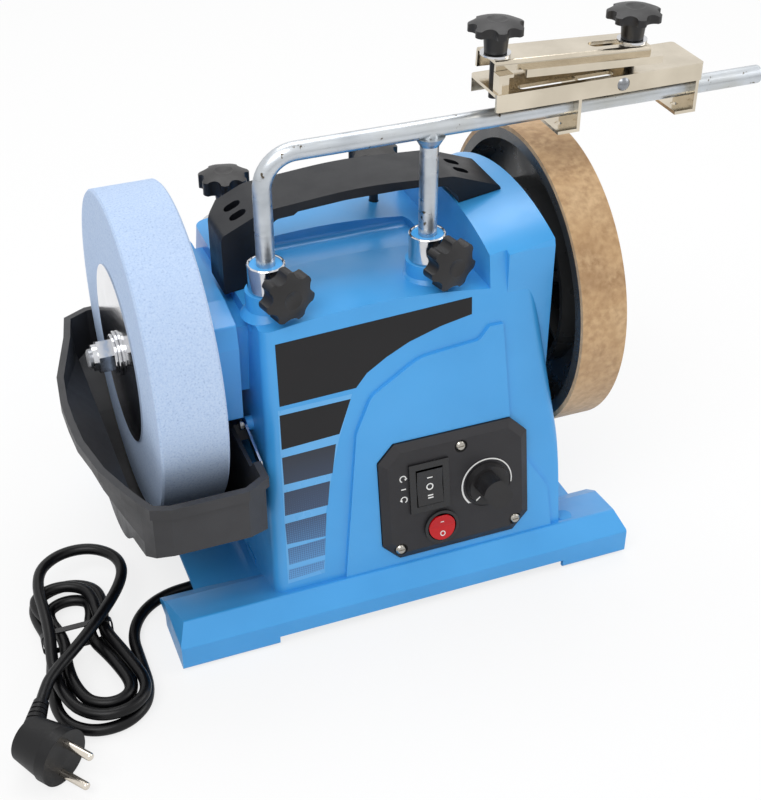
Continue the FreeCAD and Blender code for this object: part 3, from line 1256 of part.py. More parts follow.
def jig_legs():
    """Two plates under the channel, each pierced by the bar and bent to a foot."""
    legs = []
    y0 = JIG_FRONT_Y + SHEET
    y1 = STEM_Y + 11
    for x in JIG_LEGS_X:
        plate = box(x - SHEET, x, y0, y1, JIG_LEG_LOW_Z, JIG_TOP_Z - SHEET)
        sole = box(x - JIG_LEG_FOOT, x, y0, y1, JIG_LEG_LOW_Z, JIG_LEG_LOW_Z + SHEET)
        sole = sole.cut(rod(V(x - JIG_LEG_FOOT / 2 - 1, STEM_Y, JIG_LEG_LOW_Z - 1), Z_AXIS, 2.2, 5))
        leg = plate.fuse(sole)
        leg = leg.cut(rod(V(x - 5, STEM_Y, BAR_Z), X_AXIS, ROD_R + 0.08, 8))
        legs.append(leg.removeSplitter())
    return legs


def jig_rivet():
    y = JIG_FRONT_Y
    z = JIG_TOP_Z - JIG_FLANGE / 2
    head = Part.makeSphere(RIVET_R * 1.25, V(RIVET_X, y + RIVET_R * 0.75, z))
    head = head.common(box(RIVET_X - 9, RIVET_X + 9, y - 9, y, z - 9, z + 9))
    return head.fuse(rod(V(RIVET_X, y - 0.5, z), Y_AXIS, 2.0, SHEET + 1.5)).removeSplitter()


def tilted_clamp(shape):
    shape = shape.copy()
    shape.rotate(V(CLAMP_LEFT_X, 0, CLAMP_TOP_Z), Y_AXIS, CLAMP_TILT)
    return shape


def jig_clamp_bar():
    """Clamp bar: a channel whose front flange steps out and down to a lip; slot under one screw."""
    top = CLAMP_TOP_Z
    low = top - CLAMP_HIGH
    step = top - CLAMP_STEP
    block = box(CLAMP_LEFT_X, CLAMP_RIGHT_X, CLAMP_FRONT_Y, CLAMP_BACK_Y, low, top)
    bends = [e for e in block.Edges if e.BoundBox.XLength > 20 and e.BoundBox.ZMin > top - 0.1]
    block = block.makeFillet(SHEET + 0.6, bends)
    room = box(CLAMP_LEFT_X - 5, CLAMP_RIGHT_X + 5, CLAMP_FRONT_Y + SHEET, CLAMP_BACK_Y - SHEET,
               low - 5, top - SHEET)
    under_step = box(CLAMP_LEFT_X - 5, CLAMP_RIGHT_X + 5, CLAMP_FRONT_Y - 1, CLAMP_FRONT_Y + SHEET + 0.1,
                     low - 5, step)
    x0 = JIG_LUG[1] + 9
    x1 = CLAMP_RIGHT_X + 5
    y0 = CLAMP_FRONT_Y - CLAMP_LIP
    ledge = box(x0, x1, y0, CLAMP_FRONT_Y + 1, step, step + SHEET)
    lip = box(x0, x1, y0, y0 + SHEET, step + SHEET - CLAMP_LIP_HIGH, step + SHEET)
    bar = block.cut(fuse([room, under_step])).fuse([ledge, lip])
    x = JIG_KNOBS_X[0]
    bar = bar.cut(rod(V(x, JIG_KNOB_Y, low - 5), Z_AXIS, STUD_R + 0.9, CLAMP_HIGH + 10))
    half = STUD_R + 0.9
    plan = rectangle(CLAMP_SLOT_X, JIG_KNOBS_X[1] + half, JIG_KNOB_Y - half, JIG_KNOB_Y + half)
    bar = bar.cut(prism_z(plan, low - 5, top + 5, half - 0.1))
    bar = tilted_clamp(bar.removeSplitter())
    return bar.cut(box(-FAR, FAR, -FAR, FAR, 0, JIG_TOP_Z + 0.3))


def clamp_top_z(x):
    return CLAMP_TOP_Z - (x - CLAMP_LEFT_X) * math.tan(math.radians(CLAMP_TILT))


def jig_foot_z(x):
    return clamp_top_z(x) + JIG_WASHER_THICK + JIG_FOOT_GAP


def jig_washers():
    """Under each screw knob a washer whose wedged foot evens out the tilt."""
    solid_bar = tilted_clamp(box(CLAMP_LEFT_X - 20, CLAMP_RIGHT_X + 20, CLAMP_FRONT_Y - 20,
                                 CLAMP_BACK_Y + 20, CLAMP_TOP_Z - 20, CLAMP_TOP_Z))
    parts = []
    for x in JIG_KNOBS_X:
        plane_z = clamp_top_z(x)
        disc = rod(V(x, JIG_KNOB_Y, plane_z - 3), Z_AXIS, JIG_WASHER_R, 3 + JIG_WASHER_THICK)
        bore = rod(V(x, JIG_KNOB_Y, plane_z - 5), Z_AXIS, STUD_R + 0.9, 30)
        parts.append(disc.cut(solid_bar).cut(bore).removeSplitter())
    return parts


def jig_knob(i):
    foot = jig_foot_z(JIG_KNOBS_X[i])
    knob = star_knob(JIG_KNOB_R, JIG_KNOB_HIGH - 5, JIG_KNOB_HUB_R, JIG_KNOB_HUB_HIGH,
                     foot - JIG_TOP_Z + SHEET + 7)
    return seat_on(knob, V(JIG_KNOBS_X[i], JIG_KNOB_Y, foot), Z_AXIS)


# Water trough, its two shouldered screws and the latch
def trough_block(inset, rim_cut):
    """Outer form of the trough, drawn in by inset: side outline and bulge."""
    half, side_z, low_z = TROUGH_BELLY
    y0 = TROUGH_FRONT_Y + inset
    y1 = TROUGH_BACK_Y - inset
    x0 = TROUGH_SIDE_X + inset
    x1 = TROUGH_INNER_X - max(0.0, inset - 2.0)
    lift = max(0.0, inset - 2.0) * 1.05
    a = V(x0, -half, side_z + lift)
    m = V(x0, 0, low_z + lift)
    b = V(x0, half, side_z + lift)
    arc = Part.Arc(a, m, b).toShape()
    sides = Part.makePolygon([b, V(x0, y1, TROUGH_BACK_LOW_Z + lift), V(x0, y1, rim_cut),
                              V(x0, y0, rim_cut), V(x0, y0, TROUGH_FRONT_LOW_Z + lift), a])
    belly = Part.Face(Part.Wire([arc] + sides.Edges)).extrude(V(x1 - x0, 0, 0))
    belly = belly.common(prism_z(trough_plan(inset), 0, 200))
    flare = [(TROUGH_SIDE_X + 20, TROUGH_BULGE_Z + lift), (TROUGH_SIDE_X + inset, TROUGH_BULGE_Z + lift),
             (TROUGH_BULGE_X + inset, TROUGH_FLARE_Z), (TROUGH_BULGE_X + inset, rim_cut),
             (TROUGH_SIDE_X + 20, rim_cut)]
    bulge = prism_z(trough_plan(inset), TROUGH_BULGE_Z - 5, 200).common(prism_y(flare, -FAR, FAR))
    return belly.fuse(bulge)


def trough_plan(inset):
    """Rim outline moved inwards by inset, corner by corner."""
    if inset < 0.01:
        return TROUGH_PLAN
    count = len(TROUGH_PLAN)
    moved = []
    for i in range(count):
        a = V(TROUGH_PLAN[i - 1][0], TROUGH_PLAN[i - 1][1], 0)
        p = V(TROUGH_PLAN[i][0], TROUGH_PLAN[i][1], 0)
        b = V(TROUGH_PLAN[(i + 1) % count][0], TROUGH_PLAN[(i + 1) % count][1], 0)
        n1 = (p - a).cross(Z_AXIS).normalize()
        n2 = (b - p).cross(Z_AXIS).normalize()
        way = (n1 + n2).normalize()
        moved.append((p.x + way.x * inset / way.dot(n1), p.y + way.y * inset / way.dot(n1)))
    return moved


def water_trough():
    rim_z = TROUGH_RIM_Z
    body = trough_block(TROUGH_RIM_OUT, rim_z)
    rim = prism_z(trough_plan(0.0), rim_z - TROUGH_RIM_HIGH, rim_z)
    shell = body.fuse(rim)
    shell = shell.cut(trough_block(TROUGH_RIM_OUT + TROUGH_WALL, rim_z + 5))
    dip = [(-100, rim_z + 5), (-100, rim_z - 1), (-92, TROUGH_INNER_RIM_Z), (86, TROUGH_INNER_RIM_Z),
           (90, rim_z - 1), (90, rim_z + 5)]
    shell = shell.cut(prism_x(dip, TROUGH_INNER_X - TROUGH_WALL - 3, TROUGH_INNER_X + 5))
    wall = left_x(HOOK_Z)
    lugs = []
    cuts = []
    for y in (-HOOK_Y, HOOK_Y):
        lugs.append(box(TROUGH_INNER_X - 1, wall - 0.6, y - 9, y + 9, HOOK_Z - 2.7, TROUGH_INNER_RIM_Z))
        r = HOOK_HEAD_R + 0.5
        x0 = TROUGH_INNER_X + 0.5
        x1 = wall - 2.6
        cuts.append(box(x0, x1, y - r, y + r, HOOK_Z - 5, HOOK_Z))
        cuts.append(rod(V(x0, y, HOOK_Z), X_AXIS, r, x1 - x0))
        r = HOOK_R + 0.08
        cuts.append(box(x0, wall, y - r, y + r, HOOK_Z - 5, HOOK_Z))
        cuts.append(rod(V(x0, y, HOOK_Z), X_AXIS, r, wall - x0))
    shell = shell.fuse(lugs).cut(fuse(cuts))
    return shell.removeSplitter()


def side_screws():
    """Two shouldered screws for the trough and the screw that carries the latch."""
    wall = left_x(HOOK_Z) - 0.15
    screws = []
    for y in (-HOOK_Y, HOOK_Y):
        neck = rod(V(wall - 3.0, y, HOOK_Z), X_AXIS, HOOK_R, 3.0)
        head = rod(V(wall - 6.0, y, HOOK_Z), X_AXIS, HOOK_HEAD_R, 3.1)
        shank = rod(V(wall - 0.5, y, HOOK_Z), X_AXIS, 2.0, 10.0)
        head = head.cut(box(wall - 7, wall - 5, y - 0.6, y + 0.6, HOOK_Z - 6, HOOK_Z + 6))
        screws.append(fuse([neck, head, shank]))
    x = latch_boss_x()
    head = rod(V(x - LATCH_THICK - 2.4, LATCH_Y, LATCH_Z), X_AXIS, 3.2, 2.0)
    shank = rod(V(x - LATCH_THICK - 1.0, LATCH_Y, LATCH_Z), X_AXIS, 1.6, 12.0)
    screws.append(head.fuse(shank).removeSplitter())
    return screws


def trough_latch():
    """Flat strip that swings on its screw, its free end turned down a little."""
    x1 = latch_boss_x() - 0.2
    x0 = x1 - LATCH_THICK
    h = LATCH_HIGH / 2
    y = LATCH_Y
    z = LATCH_Z
    end_y = y - LATCH_LONG
    end_z = z - LATCH_FALL
    outline = [(y + h, z - h), (y + h, z + h), (y - 4, z + h), (end_y + 1, end_z + h + 1.5),
               (end_y, end_z + h - 3), (end_y + 1, end_z - h), (y - 6, z - h)]
    strip = prism_x(outline, x0, x1, 0.6)
    return strip.cut(rod(V(x0 - 1, y, z), X_AXIS, 1.7, LATCH_THICK + 2))


# Cord: gland, free stretch, tied hank, moulded plug
def cord_gland():
    """Bush in the wall with a tapered, ribbed sleeve outside it."""
    wall = left_x(GLAND_Z)
    bush = rod(V(wall - 1.0, GLAND_Y, GLAND_Z), X_AXIS, GLAND_R, 8.9)
    flange = rod(V(wall - 2.1, GLAND_Y, GLAND_Z), X_AXIS, GLAND_R + 0.7, 1.8)
    tip = LEAD[0][0]
    sleeve = Part.makeCone(GLAND_TIP_R, GLAND_R, wall - 0.5 - tip, V(tip, GLAND_Y, GLAND_Z), X_AXIS)
    gland = fuse([bush, flange, sleeve])
    for i in range(4):
        x = tip + 3.0 + 3.2 * i
        gland = gland.cut(pipe_ring(V(x, GLAND_Y, GLAND_Z), X_AXIS, 9.0, 3.9, 1.2))
    return gland


def route_wire(route):
    """Straight runs joined by the largest tangent arcs that the runs allow."""
    points = [V(*p) for p in route]
    edges = []
    radii = []
    at = points[0]
    for i in range(1, len(points) - 1):
        before = points[i] - points[i - 1]
        after = points[i + 1] - points[i]
        short = min(before.Length, after.Length)
        half = before.getAngle(after) / 2
        reach = 0.45 * short
        r = reach / math.tan(half)
        u = V(before).normalize()
        w = V(after).normalize()
        a = points[i] - u * reach
        b = points[i] + w * reach
        inward = (w - u).normalize()
        middle = points[i] + inward * (r / math.cos(half) - r)
        edges.append(Part.LineSegment(at, a).toShape())
        edges.append(Part.Arc(a, middle, b).toShape())
        radii.append(r)
        at = b
    edges.append(Part.LineSegment(at, points[-1]).toShape())
    return Part.Wire(edges), radii


def swept(wire, start, way):
    ring = Part.Wire([Part.makeCircle(CORD_R, start, way)])
    shell = Part.BRepOffsetAPI.MakePipeShell(wire)
    shell.add(ring)
    shell.build()
    shell.makeSolid()
    return shell.shape()


def cord_lead():
    wire, radii = route_wire(LEAD)
    start = V(*LEAD[0])
    tube = swept(wire, start, V(*LEAD[1]) - start)
    print("lead: length %.1f, least radius %.1f, radii %s" % (
        wire.Length, min(radii), " ".join("%.0f" % r for r in radii)))
    print("lead: volume %.0f against %.0f" % (tube.Volume, math.pi * CORD_R ** 2 * wire.Length))
    return tube


def biarc(p1, t1, p2, t2):
    """Two tangent arcs (or lines) from p1 along t1 to p2 along t2."""
    v = p2 - p1
    cross = v.cross(t1).Length + v.cross(t2).Length
    if cross < 1e-6:
        return [Part.LineSegment(p1, p2).toShape()]
    t = t1 + t2
    k = 2.0 * (1.0 - t1.dot(t2))
    if abs(k) < 1e-9:
        d = v.dot(v) / (4.0 * v.dot(t2))
    else:
        d = (-v.dot(t) + math.sqrt(v.dot(t) ** 2 + k * v.dot(v))) / k
    q1 = p1 + t1 * d
    q2 = p2 - t2 * d
    joint = (q1 + q2) * 0.5
    edges = []
    for a, q, b in ((p1, q1, joint), (joint, q2, p2)):
        u = (q - a).normalize()
        w = (b - q).normalize()
        half = u.getAngle(w) / 2
        if half < 1e-5:
            edges.append(Part.LineSegment(a, b).toShape())
            continue
        reach = (q - a).Length
        r = reach / math.tan(half)
        inward = (w - u).normalize()
        edges.append(Part.Arc(a, q + inward * (r / math.cos(half) - r), b).toShape())
    return edges


def hank_stations():
    """Points and directions of the hank: loops that spiral in, climb a layer, spiral out."""
    low, mid, top = HANK_LAYERS
    foot_y = HANK_WAIST_Y - HANK_DOWN
    head_y = HANK_WAIST_Y + HANK_UP
    half_step = HANK_STEP / 2
    down = V(0, -1, 0)
    up = V(0, 1, 0)
    stations = [(V(*LEAD[-1]), down), (V(HANK_X + HANK_WIDE, foot_y, low), down)]
    tracks = [HANK_WIDE - half_step * i for i in (1, 2, 3, 4, 3, 2, 1, 0)]
    z = low
    before = HANK_WIDE
    for i, track in enumerate(tracks):
        mean = (before + track) / 2
        to_left = i % 2 == 0
        side = 1 if to_left else -1
        bend_y = foot_y if to_left else head_y
        centre = HANK_X + side * (before - mean)
        end = V(centre, bend_y + (-mean if to_left else mean), z)
        stations.append((end, V(-side, 0, 0)))
        run = up if to_left else down
        stations.append((V(HANK_X - side * track, bend_y, z), run))
        before = track
        if i == len(tracks) - 1:
            break
        waist_x = HANK_X - side * (track - HANK_DRAWN)
        if i == 3:
            rise = V(0, run.y, (mid - low) / (HANK_DOWN + HANK_UP)).normalize()
            share = HANK_UP / (HANK_DOWN + HANK_UP)
            stations.append((V(waist_x, HANK_WAIST_Y, low + share * (mid - low)), rise))
            z = mid
        else:
            stations.append((V(waist_x, HANK_WAIST_Y, z), run))
        if i == 6:
            z = top
        stations.append((V(HANK_X - side * track, head_y if to_left else foot_y, z), run))
    stations.append((V(HANK_X + 4.0, HANK_WAIST_Y - 13.0, top), V(-0.62, -0.785, 0).normalize()))
    stations.append((V(HANK_X - 24.5, HANK_WAIST_Y - 40.5, top), V(-0.52, -0.854, 0).normalize()))
    stations.append((V(*PLUG_END) - plug_way() * CORD_R * 2, plug_way()))
    stations.append((V(*PLUG_END), plug_way()))
    return stations


def plug_way():
    """Direction in which the cord runs into the plug."""
    return V(-0.42, -0.90, -0.10).normalize()


def least_gap(wire):
    points = []
    along = []
    run = 0.0
    for edge in wire.OrderedEdges:
        count = max(2, int(edge.Length / 1.2))
        for p in edge.discretize(count)[:-1]:
            points.append(p)
        for i in range(count - 1):
            along.append(run + edge.Length * i / (count - 1))
        run += edge.Length
    least = 1e9
    for i in range(len(points)):
        p = points[i]
        for j in range(i + 1, len(points)):
            if along[j] - along[i] < 5 * CORD_R:
                continue
            q = points[j]
            if abs(q.x - p.x) > 9 or abs(q.y - p.y) > 9 or abs(q.z - p.z) > 9:
                continue
            least = min(least, p.distanceToPoint(q) - 2 * CORD_R)
    return least


def cord_hank():
    stations = hank_stations()
    edges = []
    for (p1, t1), (p2, t2) in zip(stations, stations[1:]):
        edges += biarc(p1, t1, p2, t2)
    wire = Part.Wire(edges)
    tube = swept(wire, stations[0][0], stations[0][1])
    radii = [e.Curve.Radius for e in edges if e.Curve.TypeId == "Part::GeomCircle"]
    print("hank: length %.0f, least radius %.1f, least gap to itself %.2f" % (
        wire.Length, min(radii), least_gap(wire)))
    print("hank: volume %.0f against %.0f" % (tube.Volume, math.pi * CORD_R ** 2 * wire.Length))
    return tube


def cord_tie():
    """Flat band round the drawn-in waist of the hank."""
    left = HANK_X - (HANK_WIDE - HANK_STEP / 2 - HANK_DRAWN) - CORD_R - 0.3
    right = HANK_X + (HANK_WIDE - HANK_STEP - HANK_DRAWN) + CORD_R + 0.3
    low = HANK_LAYERS[0] - CORD_R - 0.1
    top = HANK_LAYERS[1] + CORD_R + 0.1
    t = TIE_THICK
    outer = prism_y([(left - t, low - t), (right + t, low - t), (right + t, top + t), (left - t, top + t)],
                    TIE_FRONT_Y, TIE_BACK_Y, 4.0)
    inner = prism_y([(left, low), (right, low), (right, top), (left, top)],
                    TIE_FRONT_Y - 1, TIE_BACK_Y + 1, 4.0 - t)
    return outer.cut(inner)


def plug_axes():
    way = V(0.6, -0.8, 0)
    flat = V(-0.8, -0.6, 0)
    a = math.radians(PIN_ROLL)
    return way, flat * math.cos(a) - Z_AXIS * math.sin(a)


def plug_body():
    """Moulded plug lying on its side: round face, tapered grip, ribbed sleeve."""
    way, across = plug_axes()
    face = V(*PLUG_FACE)
    disc = rod(face - way * 7.0, way, PLUG_R, 7.0)
    grip = Part.makeCone(PLUG_R - 3.5, PLUG_R - 0.6, PLUG_LONG - 6.5, face - way * PLUG_LONG, way)
    end = V(*PLUG_END)
    sleeve_way = (face - way * (PLUG_LONG - 9.0) - end).normalize()
    cone = Part.makeCone(CORD_R + 1.0, 7.5, 29.0, end, plug_way())
    neck = Part.makeCone(7.0, 9.5, 16.0, end + plug_way() * 20.0, sleeve_way)
    body = fuse([disc, grip, cone, neck])
    for i in range(5):
        groove = end + plug_way() * (3.0 + 3.4 * i)
        body = body.cut(pipe_ring(groove, plug_way(), 12.0, CORD_R + 0.7 + 0.35 * i,
                                  1.2))
    body = body.common(box(-400, 0, -400, 0, 0.4, 60))
    for side in (-1, 1):
        hole = face + across * (side * PIN_APART / 2) - way * 6.0
        body = body.cut(rod(hole, way, PIN_R + SEAT, 8.0))
    return body.removeSplitter()


def plug_pins():
    way, across = plug_axes()
    face = V(*PLUG_FACE)
    pins = []
    for side in (-1, 1):
        start = face + across * (side * PIN_APART / 2) - way * 6.0
        pin = rod(start, way, PIN_R, PIN_LONG + 6.0)
        tip = [e for e in pin.Edges if e.Curve.TypeId == "Part::GeomCircle"
               and (e.Curve.Center - start).Length > 10]
        pins.append(pin.makeFillet(1.6, tip))
    return pins


# Named pieces: bodies that move together are written one after the other
NODES = [
    ("housing", housing), ("base_plate", base_plate), ("rubber_feet", rubber_feet),
    ("base_screws", base_screws), ("handle", handle), ("handle_screws", handle_screws),
    ("front_collar_left", lambda: front_collar(STEM_LEFT_X)),
    ("front_collar_right", lambda: front_collar(STEM_RIGHT_X)),
    ("rear_collar_left", lambda: rear_collar(rear_guide_x(STEM_LEFT_X))),
    ("rear_collar_right", lambda: rear_collar(rear_guide_x(STEM_RIGHT_X))),
    ("panel_bezel", panel_bezel), ("panel_screws", panel_screws),
    ("direction_switch_case", direction_switch_case), ("power_switch_case", power_switch_case),
    ("potentiometer", potentiometer), ("motor_can", motor_can), ("motor_end_cap", motor_end_cap),
    ("motor_bracket", motor_bracket), ("motor_screws", motor_screws), ("control_board", control_board),
    ("bearing_left", lambda: bearing(LEFT_BEARING_X)),
    ("bearing_right", lambda: bearing(RIGHT_BEARING_X)),
    ("side_screws", side_screws), ("cord_gland", cord_gland), ("power_cord_lead", cord_lead),
    ("power_cord_hank", cord_hank), ("cord_tie", cord_tie), ("plug_body", plug_body),
    ("plug_pins", plug_pins),
    ("main_shaft", main_shaft), ("grinding_stone", stone), ("stone_bush", stone_bush),
    ("stone_face_disc", face_disc), ("stone_back_flange", back_flange), ("stone_washers", washers),
    ("stone_nut", lambda: lock_nut(stone_nut_x(), -1)), ("drive_wheel", drive_wheel),
    ("drive_tyre", drive_tyre), ("honing_wheel_core", honing_core), ("honing_leather", honing_leather),
    ("honing_nut", lambda: lock_nut(HONING_FACE_X, 1)),
    ("motor_rotor", motor_rotor), ("friction_roller", friction_roller),
    ("direction_rocker", direction_rocker), ("power_rocker", power_rocker), ("speed_knob", speed_knob),
    ("support_bar", support_bar),
    ("front_knob_left", lambda: front_knob(STEM_LEFT_X)),
    ("front_knob_right", lambda: front_knob(STEM_RIGHT_X)),
    ("rear_knob_left", lambda: rear_knob(rear_guide_x(STEM_LEFT_X))),
    ("rear_knob_right", lambda: rear_knob(rear_guide_x(STEM_RIGHT_X))),
    ("jig_base", jig_base), ("jig_legs", jig_legs), ("jig_rivet", jig_rivet),
    ("jig_clamp_bar", jig_clamp_bar), ("jig_washers", jig_washers),
    ("jig_knob_left", lambda: jig_knob(0)), ("jig_knob_right", lambda: jig_knob(1)),
    ("water_trough", water_trough), ("trough_latch", trough_latch),
]


def write_parts():
    os.makedirs("parts", exist_ok=True)
    for name, make in NODES:
        shape = make()
        if isinstance(shape, list):
            shape = Part.makeCompound(shape)
        if not shape.isValid() or not shape.Solids:
            print("NOT VALID:", name)
        shape = shape.copy()
        shape.translate(V(-ORIGIN_X, -ORIGIN_Y, 0))
        shape.exportStep("parts/" + name + ".step")
        b = shape.BoundBox
        print("%-22s %2d solids %9.0f mm3  x %.1f %.1f  y %.1f %.1f  z %.1f %.1f" % (
            name, len(shape.Solids), shape.Volume, b.XMin, b.XMax, b.YMin, b.YMax, b.ZMin, b.ZMax))


write_parts()
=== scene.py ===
import math

import bmesh
import bpy
from mathutils import Matrix, Vector
from mathutils.bvhtree import BVHTree


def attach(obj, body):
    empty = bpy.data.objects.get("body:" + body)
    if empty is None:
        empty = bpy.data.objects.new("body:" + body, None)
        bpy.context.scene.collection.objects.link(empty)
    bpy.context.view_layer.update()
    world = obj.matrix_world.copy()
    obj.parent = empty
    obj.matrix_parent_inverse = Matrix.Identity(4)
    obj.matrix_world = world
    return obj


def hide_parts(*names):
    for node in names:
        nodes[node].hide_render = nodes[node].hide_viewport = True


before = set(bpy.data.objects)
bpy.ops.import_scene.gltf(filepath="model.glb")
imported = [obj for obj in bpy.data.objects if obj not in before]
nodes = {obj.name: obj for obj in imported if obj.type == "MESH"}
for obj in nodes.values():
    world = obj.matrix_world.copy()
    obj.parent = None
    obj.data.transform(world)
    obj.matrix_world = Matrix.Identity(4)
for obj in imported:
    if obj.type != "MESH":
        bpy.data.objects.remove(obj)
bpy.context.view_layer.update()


# Points are written in millimetres about the spindle, as in the part's source, and turned
# into the frame's metres here: X along the spindle, minus Y to the front, Z up.
def at(x, y, z):
    return Vector(((x - 15.35) / 1000, (y + 6.5) / 1000, z / 1000))


# Camera at the photograph's place
YAW, PITCH, ROLL = 0.3602, 0.6147, -0.0060
CAMERA_PLACE = (-276.6, -727.25, 632.81)
PICTURE_WIDE, PICTURE_HIGH = 761, 800
FOCAL_PIXELS = 1414.45
CENTRE_PIXEL = (364.93, 399.76)
FILM_WIDE = 36.0
forward = Vector((math.sin(YAW) * math.cos(PITCH), math.cos(YAW) * math.cos(PITCH), -math.sin(PITCH)))
right = Vector((math.cos(YAW), -math.sin(YAW), 0))
up = right.cross(forward)
camera_data = bpy.data.cameras.new("camera")
camera = bpy.data.objects.new("camera", camera_data)
bpy.context.scene.collection.objects.link(camera)
bpy.context.scene.camera = camera
turn = Matrix((right, up, -forward)).transposed() @ Matrix.Rotation(ROLL, 3, "Z")
camera.matrix_world = Matrix.Translation(at(*CAMERA_PLACE)) @ turn.to_4x4()
camera_data.sensor_width = FILM_WIDE
camera_data.lens = FOCAL_PIXELS * FILM_WIDE / PICTURE_HIGH
camera_data.shift_x = (PICTURE_WIDE / 2 - CENTRE_PIXEL[0]) / PICTURE_HIGH
camera_data.shift_y = (CENTRE_PIXEL[1] - PICTURE_HIGH / 2) / PICTURE_HIGH
camera_data.clip_start, camera_data.clip_end = 0.05, 60.0


# Light, floor and background
def area_light(name, place, target, size, power):
    data = bpy.data.lights.new(name, "AREA")
    data.shape = "RECTANGLE"
    data.size, data.size_y = size
    data.energy = power
    lamp = bpy.data.objects.new(name, data)
    bpy.context.scene.collection.objects.link(lamp)
    lamp.location = place
    lamp.rotation_euler = (Vector(target) - Vector(place)).to_track_quat("-Z", "Y").to_euler()


area_light("key", (-0.9, -1.0, 1.9), (0, 0, 0.15), (1.5, 1.1), 22)
area_light("side", (1.9, -0.7, 1.2), (0, 0, 0.15), (1.2, 1.2), 11)
area_light("top", (0.2, 0.9, 2.0), (0, 0, 0.1), (1.8, 1.0), 16)

AMBIENT = 0.5
FLOOR_TONE = 0.9
FLOOR_GLOW = 0.78
FLOOR_HALF = 12.0


def make_world():
    """Even light from all round; white where the camera, a gloss or a clear piece looks at it."""
    world = bpy.data.worlds.new("studio")
    bpy.context.scene.world = world
    world.use_nodes = True
    tree = world.node_tree
    tree.nodes.clear()
    paths = tree.nodes.new("ShaderNodeLightPath")
    seen = paths.outputs["Is Camera Ray"]
    for way in ("Is Glossy Ray", "Is Transmission Ray"):
        larger = tree.nodes.new("ShaderNodeMath")
        larger.operation = "MAXIMUM"
        tree.links.new(seen, larger.inputs[0])
        tree.links.new(paths.outputs[way], larger.inputs[1])
        seen = larger.outputs[0]
    either = tree.nodes.new("ShaderNodeMixShader")
    tree.links.new(seen, either.inputs[0])
    for socket, strength in ((either.inputs[1], AMBIENT), (either.inputs[2], 1.0)):
        background = tree.nodes.new("ShaderNodeBackground")
        background.inputs["Color"].default_value = (1, 1, 1, 1)
        background.inputs["Strength"].default_value = strength
        tree.links.new(background.outputs[0], socket)
    surface = tree.nodes.new("ShaderNodeOutputWorld")
    tree.links.new(either.outputs[0], surface.inputs[0])


def floor_material():
    """Matt and pale, a good deal brighter to the camera, so that only the shadows show on it."""
    pale = bpy.data.materials.new("floor")
    pale.use_nodes = True
    tree = pale.node_tree
    tree.nodes.clear()
    paths = tree.nodes.new("ShaderNodeLightPath")
    share = tree.nodes.new("ShaderNodeMath")
    share.operation = "MULTIPLY"
    share.inputs[1].default_value = FLOOR_GLOW
    tree.links.new(paths.outputs["Is Camera Ray"], share.inputs[0])
    matt = tree.nodes.new("ShaderNodeBsdfDiffuse")
    matt.inputs["Color"].default_value = (FLOOR_TONE, FLOOR_TONE, FLOOR_TONE, 1)
    glow = tree.nodes.new("ShaderNodeEmission")
    glow.inputs["Color"].default_value = (1, 1, 1, 1)
    glow.inputs["Strength"].default_value = 1.0
    either = tree.nodes.new("ShaderNodeMixShader")
    tree.links.new(share.outputs[0], either.inputs[0])
    tree.links.new(matt.outputs[0], either.inputs[1])
    tree.links.new(glow.outputs[0], either.inputs[2])
    surface = tree.nodes.new("ShaderNodeOutputMaterial")
    tree.links.new(either.outputs[0], surface.inputs[0])
    return pale


def make_floor():
    h = FLOOR_HALF
    mesh = bpy.data.meshes.new("floor")
    mesh.from_pydata([(-h, -h, 0), (h, -h, 0), (h, h, 0), (-h, h, 0)], [], [(0, 1, 2, 3)])
    mesh.materials.append(floor_material())
    floor = bpy.data.objects.new("floor", mesh)
    bpy.context.scene.collection.objects.link(floor)


make_world()
make_floor()
bpy.context.scene.view_settings.view_transform = "Standard"


# Materials
def linear(r, g, b):
    """A colour given as 0 to 255 screen values."""
    turned = []
    for c in (r, g, b):
        c = c / 255
        turned.append(c / 12.92 if c <= 0.04045 else ((c + 0.055) / 1.055) ** 2.4)
    return (*turned, 1)


